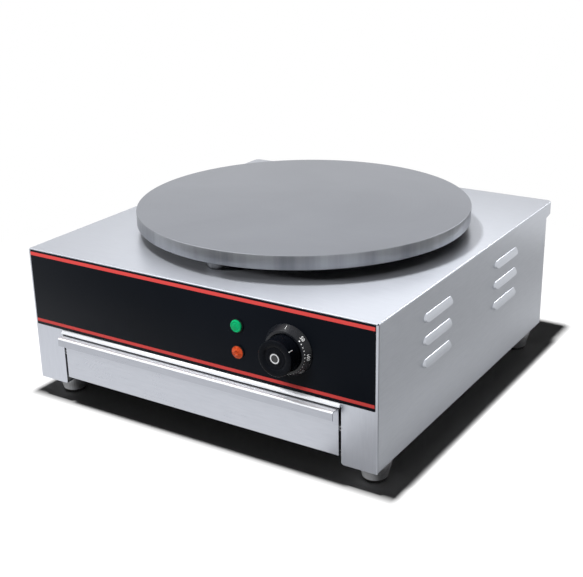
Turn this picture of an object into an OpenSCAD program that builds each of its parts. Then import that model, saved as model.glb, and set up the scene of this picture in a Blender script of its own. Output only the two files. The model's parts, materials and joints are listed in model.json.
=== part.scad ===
// Countertop electric crepe maker: a round hotplate on three posts over a folded sheet housing,
// with a thermostat, two indicator lamps and a crumb drawer. Millimetres, +Z up, feet on z = 0,
// +Y towards the back. The origin is on the floor, in the middle of the outline.

/* [Housing] */
// Width of the housing over its side sheets
body_w = 456; // [440:1:480]
// Depth of the housing from front face to rear panel
body_d = 450; // [440:1:480]
// Height of the housing from its bottom flanges to its top sheet
body_h = 162.5; // [158:0.5:180]
// Thickness of the housing sheets
sheet = 1.2; // [1:0.1:1.5]
// Outer radius of the bends along the top edges
bend_r = 2.5; // [2:0.1:4]
// How far the top sheet overhangs the rear panel
lip_d = 20; // [19:1:26]
// Height of the rear lip
lip_h = 15; // [12:1:18]
// Corner cut of the rear lip's lower edge
lip_cut = 3; // [2:0.5:5]
// Gap between separate sheets that meet at a corner
seam = 0.4; // [0.3:0.1:0.8]
// Width of the flanges folded in under the sides
foot_flange_w = 40; // [34:1:44]
// Width of the flanges that the rear panel is screwed to
rear_flange_w = 12; // [10:1:16]

/* [Louvres] */
// Length of one louvre
louvre_l = 70; // [50:1:80]
// Height of one louvre
louvre_h = 11; // [8:0.5:14]
// How far a louvre stands out of the side
louvre_out = 4; // [3:0.5:6]
// Thickness of a louvre's pressed skin
louvre_skin = 1; // [0.8:0.1:1.2]
// Louvres above each other in one group
louvre_rows = 3; // [1:1:3]
// Distance from one louvre down to the next
louvre_pitch = 25.7; // [20:0.1:28]
// Depth of the top louvre's lower edge below the top sheet
louvre_drop = 35.5; // [30:0.5:45]
// Distance between the middles of the two groups
louvre_group_gap = 185; // [150:1:220]

/* [Hotplate] */
// Radius of the hotplate
plate_r = 200; // [185:1:203]
// Thickness of the hotplate
plate_t = 16.5; // [14:0.5:25]
// Gap between the top sheet and the hotplate
plate_gap = 11.5; // [9:0.5:16]
// How far the hotplate's centre lies behind the housing's centre
plate_back = 9; // [0:1:12]
// Size of the broken edge around the hotplate
plate_edge = 1; // [0.5:0.1:2]
// Distance of the posts' circle inside the hotplate's edge
post_in = 21; // [18:1:26]
// Number of posts
post_count = 3; // [3:1:4]
// Radius of a post at its top
post_r = 12; // [10:0.5:14]
// Radius of a post where it stands on the sheet
post_foot_r = 10; // [9:0.5:12]
// Radius of the post bolts
post_bolt_r = 4; // [3:0.5:5]
// Depth of the threaded holes in the hotplate's underside
plate_hole_depth = 9; // [7:0.5:11]
// How far the round hole in the top sheet lies inside the hotplate's edge
top_hole_in = 50; // [46:1:56]
// Thickness of the ring that stiffens the top sheet
ring_t = 2.5; // [2:0.5:4]

/* [Heating] */
// Radius of the element tubes
element_r = 4; // [3:0.5:4.5]
// Radius of the inner element ring
inner_ring_r = 62; // [56:1:66]
// How far the outer element ring lies inside the pan's wall
outer_ring_in = 24; // [20:1:26]
// Half the distance between the two legs of an element
leg_half = 10; // [8:0.5:12]
// Thickness of the clamp disc
clamp_t = 2; // [1.5:0.5:3]
// Thickness of the insulation pad
pad_t = 20; // [14:1:22]
// Thickness of the insulation pan's sheet
pan_t = 1; // [0.8:0.1:1.2]
// Gap between the pan's wall and the top sheet's hole
pan_gap = 8; // [6:0.5:10]
// Radius of the centre stud
stud_r = 4; // [3:0.5:5]
// Radius of the thermostat's sensor bulb
bulb_r = 3; // [2:0.5:3]
// Length of the sensor bulb
bulb_l = 80; // [60:1:84]
// Radius of the capillary tube
capillary_r = 1; // [0.8:0.1:1.4]

/* [Control strip] */
// Thickness of the control overlay
overlay_t = 0.8; // [0.4:0.1:1]
// Height of the control overlay
overlay_h = 91.6; // [85:0.1:94]
// Bare margin at each end of the overlay
overlay_margin = 3; // [2:0.5:6]
// Distance of the knob from the housing's right-hand side
knob_in_x = 101; // [80:1:120]
// Depth of the knob's axis below the top sheet
knob_drop = 48; // [44:0.5:52]
// How far the knob stands out of the front panel
knob_proud = 28; // [24:0.5:32]
// Radius of the knob's grip
grip_r = 19.5; // [18:0.5:20]
// Thickness of the grip's wall
grip_wall = 2.5; // [2:0.5:3]
// Radius of the round dish in the grip's face
dish_r = 13.5; // [10:0.5:15]
// Radius of the disc in the middle of the grip
cap_r = 6; // [4:0.5:8]
// Outer radius of the dial ring
dial_r = 28; // [26:0.5:32]
// Radius of the dial ring's front edge
dial_front_r = 23.4; // [22:0.1:25]
// How far the dial ring stands out of the front panel
dial_proud = 10; // [8:0.5:12]
// Thickness of the dial ring's back
dial_back_t = 2; // [1.5:0.1:2.5]
// Turn of the pointer from straight up, clockwise, as the knob rests
pointer_turn = 58; // [0:1:120]
// Distance from the knob to the lamps beside it
lamp_gap = 62.5; // [50:0.5:80]
// Depth of the power lamp below the top sheet
power_lamp_drop = 35; // [28:0.5:38]
// Depth of the heating lamp below the top sheet
heat_lamp_drop = 64.6; // [58:0.1:72]
// Radius of a lamp's rim
lamp_r = 7.8; // [6:0.1:9]
// How far a lamp stands out of the front panel
lamp_proud = 4.8; // [3.5:0.1:6]

/* [Thermostat] */
// Radius of the thermostat's shaft
shaft_r = 3; // [2.5:0.5:3]
// Running clearance around the shaft
shaft_clear = 0.06; // [0.03:0.01:0.1]
// Radius of the threaded bush
bush_r = 5; // [4.5:0.5:5.5]
// Width of the thermostat's body
thermo_w = 42; // [34:1:50]
// Height of the thermostat's body
thermo_h = 36; // [30:1:44]
// Depth of the thermostat's body
thermo_d = 34; // [28:1:44]

/* [Drawer] */
// Width of the housing's legs beside the drawer
leg_w = 41.3; // [39:0.1:46]
// Depth of the drawer notch's top edge below the top sheet
notch_drop = 97.5; // [96:0.5:100]
// Corner radius at the foot of the legs
leg_corner_r = 3; // [1:0.5:5]
// Gap beside the drawer front
drawer_gap = 3; // [2:0.1:4]
// Gap above the drawer front
drawer_top_gap = 1.5; // [1:0.1:3]
// Height of the drawer front's lower edge above the housing's lower edge
drawer_rise = 8.5; // [7:0.5:12]
// How far the handle lip stands out of the drawer front
handle_out = 12; // [10:0.5:16]
// Height of the handle lip's hanging flange
handle_drop = 10; // [8:0.5:16]
// Width of the flange folded in under the drawer front
drawer_hem = 8; // [6:0.5:12]
// Thickness of the tray's sheet
tray_t = 1; // [0.8:0.1:1.2]
// Length of the tray
tray_l = 412; // [380:1:424]
// Depth of the tray
tray_depth = 29.5; // [20:0.5:29.5]
// Height of the runners' middle above the housing's lower edge
runner_rise = 40; // [39:0.5:46]
// Height of a runner channel
runner_h = 5; // [5:0.1:8]
// How far a runner's flanges reach in under the tray's rim
runner_reach = 12; // [10:0.5:13]
// Drip edge: how far it stands out of the front panel
drip_out = 3; // [2:0.5:4]
// Drip edge: height
drip_h = 4.5; // [3:0.5:4.5]

/* [Feet] */
// Height of a foot
foot_h = 25; // [20:0.5:32]
// Radius of a foot at its top
foot_top_r = 18.5; // [16:0.5:20]
// Radius of a foot at its bottom
foot_tip_r = 13.5; // [12:0.5:15]
// Distance of the feet from the housing's sides
foot_in_x = 20; // [19:0.5:20]
// Distance of the feet from the housing's front and rear
foot_in_y = 33; // [26:1:45]
// Thickness of the rubber pads
pad_h = 3; // [2:0.5:4]
// Radius of the foot bolts
foot_bolt_r = 4; // [3:0.5:5]

/* [Rear panel] */
// Distance of the cable gland from the housing's left-hand side, seen from the front
gland_in_x = 68; // [55:1:90]
// Height of the cable gland above the inner deck
gland_rise = 33; // [26:1:50]
// Radius of the cable passage through the gland
gland_bore_r = 5.5; // [4:0.5:6]
// Radius of the gland's thread
gland_thread_r = 10; // [9:0.5:11]
// Distance of the bonding stud from the gland
bond_gap = 60; // [45:1:70]
// Radius of the bonding stud
bond_r = 3; // [2.5:0.5:4]
// Length of the bonding stud behind the rear panel
bond_l = 16; // [14:0.5:18]
// Number of vent slots in each row of the rear panel
vent_count = 7; // [1:1:8]
// Length of a vent slot
vent_l = 32; // [20:1:36]
// Height of a vent slot
vent_h = 4; // [3:0.5:6]

/* [Fits] */
// Clearance around bolts, screws and pins
fit = 0.1; // [0.05:0.05:0.2]
// Clearance between pieces that lie next to each other
rest_gap = 0.3; // [0.2:0.05:0.4]
// Radius of the small screws
screw_r = 1.9; // [1.5:0.1:2]

/* [Hidden] */
$fn = 96;
eps = 0.1;

// Overall places
z_bottom = foot_h;
z_top = z_bottom + body_h;
y_front = (knob_proud - body_d - lip_d) / 2;
y_rear = y_front + body_d;
y_lip = y_rear + lip_d;
plate_y = y_front + body_d / 2 + plate_back;
plate_z = z_top + plate_gap;
side_in = body_w / 2 - sheet;
side_front = y_front + sheet + seam;
flange_end_low = 3;
flange_end_high = 6;
flange_low = z_bottom + sheet + flange_end_low;
flange_high = z_top - flange_end_high;
front_flange_w = 12;
rear_gap = 1.8;

// Drawer notch and drawer
notch_x = body_w / 2 - leg_w;
notch_z = z_top - notch_drop;
drawer_x = notch_x - drawer_gap;
drawer_top = notch_z - drawer_top_gap;
drawer_bottom = z_bottom + drawer_rise;
wall_step = 0.5;
wall_x = notch_x + wall_step;
wall_front = y_front + sheet;
wall_rear_gap = 8;
wall_rear = y_rear - wall_rear_gap;
runner_z = z_bottom + runner_rise;
runner_in = wall_x - sheet - runner_reach;
runner_rear_gap = 20;
runner_rear = y_rear - runner_rear_gap;
rim_clear = 1.8;
rim_x = wall_x - sheet - rim_clear;
tray_clear = 2.3;
tray_x = runner_in - tray_clear;
tray_top = runner_z + tray_t / 2;
tray_bottom = tray_top - tray_depth;
tray_front = y_front + sheet;
rail_flange_w = 14;

// Deck and base
deck_step = 0.8;
deck_z = notch_z + deck_step;
deck_top = deck_z + sheet;
deck_flange_h = 10;
base_z = z_bottom + sheet;
base_top = base_z + sheet;
base_setback = 16;
inner_rear = y_rear - sheet - rear_gap;
rivet_from_end = 60;
rivet_y = [y_front + rivet_from_end, plate_y, y_rear - rivet_from_end];
rivet_x = wall_x + sheet + rail_flange_w / 2;
rivet_in_x = wall_x - rail_flange_w / 2;

// Hotplate stack, from the plate down
post_ring_r = plate_r - post_in;
post_angles = [for (i = [0:post_count - 1]) -90 + i * 360 / post_count];
top_hole_r = plate_r - top_hole_in;
ring_margin = 5;
ring_step = 2;
ring_in_r = top_hole_r + ring_step;
ring_out_r = post_ring_r + post_r + ring_margin;
ring_z = z_top - sheet - ring_t;
bolt_head_r = 1.85 * post_bolt_r;
bolt_head_h = 5.5;
pan_r = top_hole_r - pan_gap;
element_z = plate_z - rest_gap - element_r;
outer_ring_r = pan_r - outer_ring_in;
clamp_z = element_z - element_r - rest_gap - clamp_t;
clamp_margin = 10;
clamp_r = pan_r - clamp_margin;
pad_z = clamp_z - pad_t;
pad_side_gap = 3;
pan_z = pad_z - pan_t;
pan_top_gap = 5;
pan_top = plate_z - pan_top_gap;
leg_r = element_r - 0.5;
leg_below = 11.4;
leg_bottom = pan_z - leg_below;
bead_h = 6;
pin_r = 1.5;
pin_l = 8;
pin_bottom = leg_bottom - bead_h - pin_l;
stud_below = 12;
stud_bottom = pan_z - stud_below;
centre_nut_h = 6.5;
clip_half = 25;
clip_wall = 3;
bulb_y = plate_y - (outer_ring_r + inner_ring_r) / 2;
bulb_z = plate_z - rest_gap - bulb_r;
capillary_x = bulb_l / 2 + 15;
capillary_y = bulb_y + 17;
capillary_hole_r = capillary_r + 3;
limit_x = 66;
limit_y = plate_y + 24;
limit_r = 8;
limit_h = 14;
limit_flange = 2;
tab_t = 0.8;
tab_l = 7;
limit_tab = pan_z - limit_h - tab_l;

// Control strip, with distances p measured forwards from the front panel's face
knob_z = z_top - knob_drop;
knob_x = body_w / 2 - knob_in_x;
lamp_x = knob_x - lamp_gap;
overlay_x = body_w / 2 - overlay_margin;
overlay_top = z_top - sheet - 0.2;
bush_hole_r = bush_r + rest_gap;
nut_p = overlay_t + dial_back_t;
nut_h = 2.5;
bush_nut_r = 8;
bush_p = nut_p + nut_h + 0.7;
grip_p = nut_p + 0.6;
hub_p = bush_p + 0.4;
hub_r = 6;
face_wall = 5;
grip_bevel = 1.5;
dish_depth = 1.5;
cap_t = 0.8;
dial_bore_r = grip_r + 0.7;
dial_foot_h = 1;
dial_bevel = 0.5;
pointer_l = 7;
pointer_w = 1.6;
pointer_t = 1.2;
pointer_proud = 0.3;
pointer_from_face = 2;
lamp_neck_r = lamp_r - 3;
lamp_neck_l = 14;
lamp_rim_t = 1.4;
lamp_step = 0.8;
lamp_taper = 1.2;
holder_l = 10;
holder_wall = 1.2;
lamp_tab_x = 2.5;
lamp_tab_l = 6;
lamp_drops = [power_lamp_drop, heat_lamp_drop];
thermo_back = y_front + sheet + thermo_d;
thermo_tab_x = 12;
thermo_tab_drop = 12;
thermo_tab_l = 8;
shaft_in = 22;

// Rear panel
gland_x = -body_w / 2 + gland_in_x;
gland_z = deck_top + gland_rise;
bond_x = gland_x + bond_gap;
panel_x = side_in - rest_gap;
panel_low = z_bottom + sheet + 0.2;
panel_high = z_top - sheet - 0.2;
screw_from_low = 20;
screw_from_deck = 5;
screw_from_top = 22;
screw_heights = [z_bottom + screw_from_low, deck_top + deck_flange_h + screw_from_deck,
    z_top - screw_from_top];
screw_head_r = 3.6;
screw_head_h = 2;
rear_screw_l = 8;
rear_screw_x = side_in - rear_flange_w / 2 - 1;
vent_x = 20;
vent_gap = 16;
vent_pitch = 9;
vent_z = gland_z - 26;
gland_in = 10;
gland_l = 22;
gland_flange_t = 5;
gland_hex_r = gland_thread_r + 3.5;
gland_nut_l = 8;
gland_dome_l = 5;
seal_t = 3.2;
bond_neck_r = bond_r + 0.5;
bond_hex_r = 1.9 * bond_r + 0.5;
bond_head_t = 4;
bond_nut_t = 5;

// Feet and terminal block
foot_x = body_w / 2 - foot_in_x;
foot_ys = [y_front + foot_in_y, y_rear - foot_in_y];
foot_pocket_h = 6.5;
foot_head_h = 5.5;
foot_head_top = pad_h + foot_pocket_h;
foot_nut_h = 6.5;
foot_thread_top = base_top + 8;
nut_r = 1.85 * foot_bolt_r;
rivet_head = [3.4, 1.3];
rivet_end = [2.8, 1.1];
block_size = [84, 28, 20];
block_gap = 3.8;
block_in_y = 62;
block_pos = [-rivet_x + rivet_head[0] + block_gap + block_size[0] / 2, y_rear - block_in_y, deck_top];
block_screw_in = 4.5;
poles = 6;
pole_pitch = 11.5;
power_wire_r = 1.4;
lamp_wire_r = 1;
wire_lead = 14;
wire_low = deck_top + 5;

// --- helpers -------------------------------------------------------------------------------

// Outline of a housing section, seen from the front: square feet, rounded top corners
module top_rounded(w, h, r) {
    translate([-w / 2, 0]) square([w, h - r]);
    translate([-w / 2 + r, 0]) square([w - 2 * r, h]);
    for (s = [-1, 1]) translate([s * (w / 2 - r), h - r]) circle(r);
}

// Extrude an outline drawn in X and Z along Y, from y0 to y1
module along_y(y0, y1) translate([0, y1, 0]) rotate([90, 0, 0]) linear_extrude(y1 - y0) children();

// Extrude an outline drawn in Y and Z along X, from x0 to x1
module along_x(x0, x1) translate([x0, 0, 0]) rotate([90, 0, 90]) linear_extrude(x1 - x0) children();

// A box given by its lowest and highest corners
module block(low, high) translate(low) cube(high - low);

// Stand children on the front panel's face, their +Z pointing forwards, their +Y up
module at_front(x, z) translate([x, y_front, z]) rotate([90, 0, 0]) children();

// Stand children on the rear panel's face, their +Z pointing backwards
module at_rear(x, z) translate([x, y_rear, z]) rotate([-90, 0, 0]) children();

// A round tube from z0 to z1
module sleeve(r_out, r_in, z0, z1) difference() {
    translate([0, 0, z0]) cylinder(r = r_out, h = z1 - z0);
    translate([0, 0, z0 - eps]) cylinder(r = r_in, h = z1 - z0 + 2 * eps);
}

// A hexagon nut from z0 to z1, with the corner radius r
module hex_nut(r, r_in, z0, z1) difference() {
    translate([0, 0, z0]) cylinder(r = r, h = z1 - z0, $fn = 6);
    translate([0, 0, z0 - eps]) cylinder(r = r_in, h = z1 - z0 + 2 * eps);
}

module each_post() for (a = post_angles)
    translate([post_ring_r * cos(a), plate_y + post_ring_r * sin(a), 0]) children();

module each_foot() for (s = [-1, 1], y = foot_ys) translate([s * foot_x, y, 0]) children();

module each_rear_screw() for (s = [-1, 1], z = screw_heights) at_rear(s * rear_screw_x, z) children();

module each_lamp() for (d = lamp_drops) at_front(lamp_x, z_top - d) children();

module each_block_screw() for (s = [-1, 1])
    translate([block_pos[0] + s * (block_size[0] / 2 - block_screw_in), block_pos[1], 0]) children();

// A line through the points p, with its corners cut off n times over; its two ends stay straight
function soften(p, n = 2) = n == 0 ? p : soften(concat([p[0]],
    [for (i = [0:len(p) - 2]) each [0.75 * p[i] + 0.25 * p[i + 1], 0.25 * p[i] + 0.75 * p[i + 1]]],
    [p[len(p) - 1]]), n - 1);
function unit(v) = v / norm(v);

// A round wire of radius r along the points
module wire(points, r) {
    path = soften(points);
    n = len(path);
    sides = 6;
    side_dir = [0.62, -0.24, 0.75];
    rings = [for (i = [0:n - 1]) let (
        t = unit(path[min(i + 1, n - 1)] - path[max(i - 1, 0)]),
        u = unit(cross(t, side_dir)),
        v = cross(t, u))
        for (k = [0:sides - 1]) path[i] + r * (cos(360 * k / sides) * u + sin(360 * k / sides) * v)];
    skin = [for (i = [0:n - 2], k = [0:sides - 1]) let (
        a = i * sides + k,
        b = i * sides + (k + 1) % sides)
        each [[a, b, a + sides], [b, b + sides, a + sides]]];
    ends = [[for (k = [sides - 1:-1:0]) k], [for (k = [0:sides - 1]) (n - 1) * sides + k]];
    polyhedron(rings, concat(skin, ends));
}

// --- housing -------------------------------------------------------------------------------

// Side view of the shell: straight sides, with the lip reaching back at the top
module shell_side_outline() polygon([
    [side_front, z_bottom], [y_rear, z_bottom], [y_rear, z_top - lip_h - lip_cut],
    [y_lip - lip_cut, z_top - lip_h], [y_lip, z_top - lip_h + lip_cut], [y_lip, z_top],
    [side_front, z_top]]);

// One louvre as a solid on the right-hand side; its open lower edge is on z = 0
module louvre_form(grow, drop) intersection() {
    along_y(-louvre_l / 2 + grow, louvre_l / 2 - grow)
        polygon([[-eps, louvre_h - 1.6 * grow], [louvre_out - grow, -drop], [-eps, -drop]]);
    translate([0, 0, -1]) linear_extrude(louvre_h + 2) polygon([
        [-eps, -louvre_l / 2 + grow], [louvre_out - grow, -louvre_l / 2 + louvre_out + grow],
        [louvre_out - grow, louvre_l / 2 - louvre_out - grow], [-eps, louvre_l / 2 - grow]]);
}

module louvre_places() for (g = [-1, 1], i = [0:louvre_rows - 1])
    translate([body_w / 2, y_front + body_d / 2 + g * louvre_group_gap / 2,
        z_top - louvre_drop - i * louvre_pitch]) children();

module louvres() louvre_places() difference() {
    louvre_form(0, 0);
    louvre_form(louvre_skin, eps);
}

module louvre_slots() louvre_places()
    block([-sheet - eps, -louvre_l / 2 + 2 * louvre_skin, -0.01],
        [0.01, louvre_l / 2 - 2 * louvre_skin, louvre_h - 3.5 * louvre_skin]);

module outer_shell() color("silver") difference() {
    union() {
        intersection() {
            translate([0, 0, z_bottom]) union() {
                difference() {
                    along_y(side_front, y_lip) top_rounded(body_w, body_h, bend_r);
                    translate([0, 0, -eps]) along_y(side_front - eps, y_lip - sheet)
                        top_rounded(body_w - 2 * sheet, body_h - sheet + eps, bend_r - sheet);
                }
            }
            along_x(-body_w, body_w) shell_side_outline();
        }
        // the top sheet reaches forwards over the front panel, between its corner notches
        block([-body_w / 2 + bend_r, y_front, z_top - sheet], [body_w / 2 - bend_r, side_front + eps, z_top]);
        for (s = [0, 1]) mirror([s, 0, 0]) {
            block([body_w / 2 - foot_flange_w, side_front, z_bottom],
                [side_in + eps, y_rear - sheet - seam, z_bottom + sheet]);
            block([side_in - rear_flange_w, y_rear - 2 * sheet - fit, flange_low],
                [side_in + eps, y_rear - sheet - fit, flange_high]);
            louvres();
        }
    }
    for (s = [0, 1]) mirror([s, 0, 0]) louvre_slots();
    translate([0, plate_y, z_top - sheet - 1]) cylinder(r = top_hole_r, h = sheet + 2);
    each_post() translate([0, 0, z_top - sheet - 1]) cylinder(r = post_bolt_r + 0.4, h = sheet + 2);
    each_foot() translate([0, 0, z_bottom - 1]) cylinder(r = foot_bolt_r + 0.3, h = sheet + 2);
    each_rear_screw() translate([0, 0, -12]) cylinder(r = screw_r + fit, h = 14);
}

// Front view of the front panel: a band with a leg at each end
module front_outline() difference() {
    translate([-body_w / 2, z_bottom]) square([body_w, overlay_top - z_bottom]);
    translate([-notch_x, z_bottom - 1]) square([2 * notch_x, notch_z - z_bottom + 1]);
    for (s = [-1, 1]) translate([s * notch_x, z_bottom]) difference() {
        translate([-leg_corner_r, -eps]) square([2 * leg_corner_r, leg_corner_r + eps]);
        translate([s * leg_corner_r, leg_corner_r]) circle(leg_corner_r);
        translate([s * leg_corner_r - (s > 0 ? 0 : 2 * leg_corner_r), -1])
            square([2 * leg_corner_r, leg_corner_r + 2]);
    }
}

module front_panel() color("gainsboro") difference() {
    union() {
        along_y(y_front, y_front + sheet) front_outline();
        for (s = [0, 1]) mirror([s, 0, 0]) {
            block([side_in - seam - sheet, y_front + sheet - eps, flange_low],
                [side_in - seam, y_front + sheet + front_flange_w, notch_z - 3]);
            block([side_in - seam - sheet, y_front + sheet - eps, deck_top + 2],
                [side_in - seam, y_front + sheet + front_flange_w, flange_high]);
        }
        along_x(-notch_x + 0.5, notch_x - 0.5) polygon([
            [y_front + eps, notch_z], [y_front + eps, notch_z + drip_h], [y_front, notch_z + drip_h],
            [y_front - drip_out, notch_z + 1], [y_front - drip_out, notch_z],
            [y_front - drip_out + 1, notch_z], [y_front, notch_z + drip_h - 1.7]]);
    }
    at_front(knob_x, knob_z) translate([0, 0, -sheet - 1]) cylinder(r = bush_hole_r, h = sheet + 2);
    each_lamp() translate([0, 0, -sheet - 1]) cylinder(r = lamp_neck_r + rest_gap, h = sheet + 2);
}

module control_overlay() color([0.1, 0.11, 0.14]) difference() {
    block([-overlay_x, y_front - overlay_t, overlay_top - overlay_h], [overlay_x, y_front, overlay_top]);
    at_front(knob_x, knob_z) translate([0, 0, -1]) cylinder(r = bush_hole_r, h = overlay_t + 2);
    each_lamp() translate([0, 0, -1]) cylinder(r = lamp_neck_r + rest_gap, h = overlay_t + 2);
}

module rear_panel() color("gainsboro") difference() {
    translate([0, 0, panel_low]) along_y(y_rear - sheet, y_rear)
        top_rounded(2 * panel_x, panel_high - panel_low, bend_r);
    each_rear_screw() translate([0, 0, -sheet - 1]) cylinder(r = screw_r + fit, h = sheet + 2);
    at_rear(gland_x, gland_z) translate([0, 0, -sheet - 1])
        cylinder(r = gland_thread_r + 2 * fit, h = sheet + 2);
    at_rear(bond_x, gland_z) translate([0, 0, -sheet - 1])
        cylinder(r = bond_neck_r + 2 * fit, h = sheet + 2);
    for (row = [0, 1], i = [0:vent_count - 1])
        translate([vent_x + row * (vent_l + vent_gap), y_rear - sheet - 1, vent_z + i * vent_pitch])
            cube([vent_l, sheet + 2, vent_h]);
}

module rear_screws() color("lightgray") each_rear_screw() {
    cylinder(r = screw_head_r, h = screw_head_h);
    translate([0, 0, -rear_screw_l]) cylinder(r = screw_r, h = rear_screw_l + 0.01);
}

module base_plate() color("gainsboro") difference() {
    block([-side_in + rest_gap, y_front + base_setback, base_z],
        [side_in - rest_gap, inner_rear, base_top]);
    each_foot() translate([0, 0, base_z - 1]) cylinder(r = foot_bolt_r + 0.3, h = sheet + 2);
    for (s = [-1, 1], y = rivet_y) translate([s * rivet_in_x, y, base_z - 1])
        cylinder(r = screw_r + fit, h = sheet + 2);
}

module inner_deck() color("gainsboro") difference() {
    union() {
        block([-side_in + rest_gap, y_front + sheet + rest_gap, deck_z],
            [side_in - rest_gap, inner_rear - rest_gap, deck_top]);
        for (s = [0, 1]) mirror([s, 0, 0])
            block([side_in - rest_gap - sheet, y_front + sheet + front_flange_w + 1, deck_z],
                [side_in - rest_gap, inner_rear - rest_gap, deck_top + deck_flange_h]);
    }
    for (s = [-1, 1], y = rivet_y) translate([s * rivet_x, y, deck_z - 1])
        cylinder(r = screw_r + fit, h = sheet + 2);
    each_block_screw() translate([0, 0, deck_z - 1]) cylinder(r = screw_r + fit, h = sheet + 2);
}

// A folded wall at each side of the drawer: lower flange inwards, upper and front flanges outwards
module drawer_walls() color("silver") for (s = [0, 1]) mirror([s, 0, 0]) difference() {
    union() {
        block([wall_x, wall_front, base_top], [wall_x + sheet, wall_rear, deck_z]);
        block([wall_x - rail_flange_w, y_front + base_setback + 4, base_top],
            [wall_x + eps, wall_rear, base_top + sheet]);
        block([wall_x, wall_front, deck_z - sheet], [wall_x + sheet + rail_flange_w, wall_rear, deck_z]);
        block([wall_x, wall_front, base_top + 2], [wall_x + rail_flange_w, wall_front + sheet, deck_z]);
    }
    for (y = rivet_y) {
        translate([rivet_x, y, deck_z - 3]) cylinder(r = screw_r + fit, h = 4);
        translate([rivet_in_x, y, base_top - 1]) cylinder(r = screw_r + fit, h = 4);
    }
}

// A rivet through two sheets: head above, set end below; z = 0 is on top of the upper sheet
module rivet() {
    cylinder(r = rivet_head[0], h = rivet_head[1]);
    translate([0, 0, -2 * sheet - 1]) cylinder(r = screw_r, h = 2 * sheet + 1.01);
    translate([0, 0, -2 * sheet - rivet_end[1]]) cylinder(r = rivet_end[0], h = rivet_end[1]);
}

module deck_rivets() color("darkgray") for (s = [-1, 1], y = rivet_y)
    translate([s * rivet_x, y, deck_top]) rivet();

module base_rivets() color("darkgray") for (s = [-1, 1], y = rivet_y)
    translate([s * rivet_in_x, y, base_top + sheet]) rivet();

// A channel that the tray's rim slides in, open towards the drawer
module runner() difference() {
    block([runner_in, y_front + sheet + rest_gap, runner_z - runner_h / 2],
        [wall_x, runner_rear, runner_z + runner_h / 2]);
    block([runner_in - eps, y_front, runner_z - runner_h / 2 + sheet],
        [wall_x - sheet, runner_rear + eps, runner_z + runner_h / 2 - sheet]);
}
module runner_left() color("whitesmoke") mirror([1, 0, 0]) runner();
module runner_right() color("whitesmoke") runner();

// --- feet ----------------------------------------------------------------------------------

module foot_cups() color([0.55, 0.56, 0.58]) each_foot() difference() {
    rotate_extrude() polygon([[0, pad_h], [foot_tip_r - 1, pad_h], [foot_tip_r, pad_h + 1],
        [foot_top_r, z_bottom - 1.5], [foot_top_r, z_bottom], [0, z_bottom]]);
    translate([0, 0, pad_h - 1]) cylinder(r = nut_r + 0.4, h = foot_pocket_h + 1);
    translate([0, 0, pad_h]) cylinder(r = foot_bolt_r + fit, h = z_bottom);
}

module foot_pads() color([0.15, 0.15, 0.15]) each_foot() cylinder(r = foot_tip_r - 0.8, h = pad_h);

module foot_bolts() color("darkgray") each_foot() {
    translate([0, 0, foot_head_top - foot_head_h]) cylinder(r = nut_r, h = foot_head_h, $fn = 6);
    translate([0, 0, foot_head_top - 1])
        cylinder(r = foot_bolt_r, h = foot_thread_top - foot_head_top + 1);
}

module foot_nuts() color("darkgray") each_foot()
    hex_nut(nut_r, foot_bolt_r + fit, base_top, base_top + foot_nut_h);

// --- hotplate ------------------------------------------------------------------------------

module support_ring() color("gray") difference() {
    translate([0, plate_y, 0]) sleeve(ring_out_r, ring_in_r, ring_z, ring_z + ring_t);
    each_post() translate([0, 0, ring_z - 1]) cylinder(r = post_bolt_r + 0.4, h = ring_t + 2);
}

module hotplate() color([0.62, 0.64, 0.66]) difference() {
    translate([0, plate_y, plate_z]) rotate_extrude($fn = 240) polygon([
        [0, 0], [plate_r - plate_edge, 0], [plate_r, plate_edge], [plate_r, plate_t - plate_edge],
        [plate_r - plate_edge, plate_t], [0, plate_t]]);
    each_post() translate([0, 0, plate_z - 1]) cylinder(r = post_bolt_r + fit, h = plate_hole_depth + 1);
    translate([0, plate_y, plate_z - 1]) cylinder(r = stud_r + fit, h = plate_hole_depth + 1);
}

module plate_posts() color([0.75, 0.76, 0.78]) each_post() translate([0, 0, z_top]) rotate_extrude()
    polygon([[post_bolt_r + fit, 0], [post_foot_r, 0], [post_r, 3], [post_r, plate_gap],
        [post_bolt_r + fit, plate_gap]]);

module post_bolts() color("darkgray") each_post() {
    translate([0, 0, ring_z - bolt_head_h]) cylinder(r = bolt_head_r, h = bolt_head_h, $fn = 6);
    translate([0, 0, ring_z - 1]) cylinder(r = post_bolt_r, h = plate_z + plate_hole_depth - 1 - ring_z + 1);
}

// A ring of tube with a cold leg under each of its two ends, at the back
module element(r) {
    end_angle = asin((leg_half - element_r) / r);
    translate([0, plate_y, element_z]) rotate([0, 0, 90 + end_angle])
        rotate_extrude(angle = 360 - 2 * end_angle) translate([r, 0]) circle(element_r);
    for (s = [-1, 1]) translate([s * leg_half, leg_y(r), 0]) {
        translate([0, 0, leg_bottom]) cylinder(r = leg_r, h = element_z - leg_bottom);
        translate([0, 0, pin_bottom]) cylinder(r = pin_r, h = leg_bottom - pin_bottom + 1);
    }
}
module outer_element() color([0.35, 0.33, 0.32]) element(outer_ring_r);
module inner_element() color([0.35, 0.33, 0.32]) element(inner_ring_r);

function leg_y(r) = plate_y + sqrt(r * r - leg_half * leg_half);
module each_leg() for (r = [outer_ring_r, inner_ring_r], s = [-1, 1])
    translate([s * leg_half, leg_y(r), 0]) children();

module element_beads() color("ivory") each_leg()
    sleeve(leg_r, pin_r + fit, leg_bottom - bead_h, leg_bottom);

// What the clamp disc, the pad and the pan have in common: holes for stud, legs and capillary
module stack_holes(z0, z1, clear) {
    translate([0, plate_y, z0]) cylinder(r = stud_r + clear, h = z1 - z0);
    each_leg() translate([0, 0, z0]) cylinder(r = leg_r + clear, h = z1 - z0);
    translate([capillary_x, capillary_y, z0]) cylinder(r = capillary_hole_r, h = z1 - z0);
}

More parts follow.
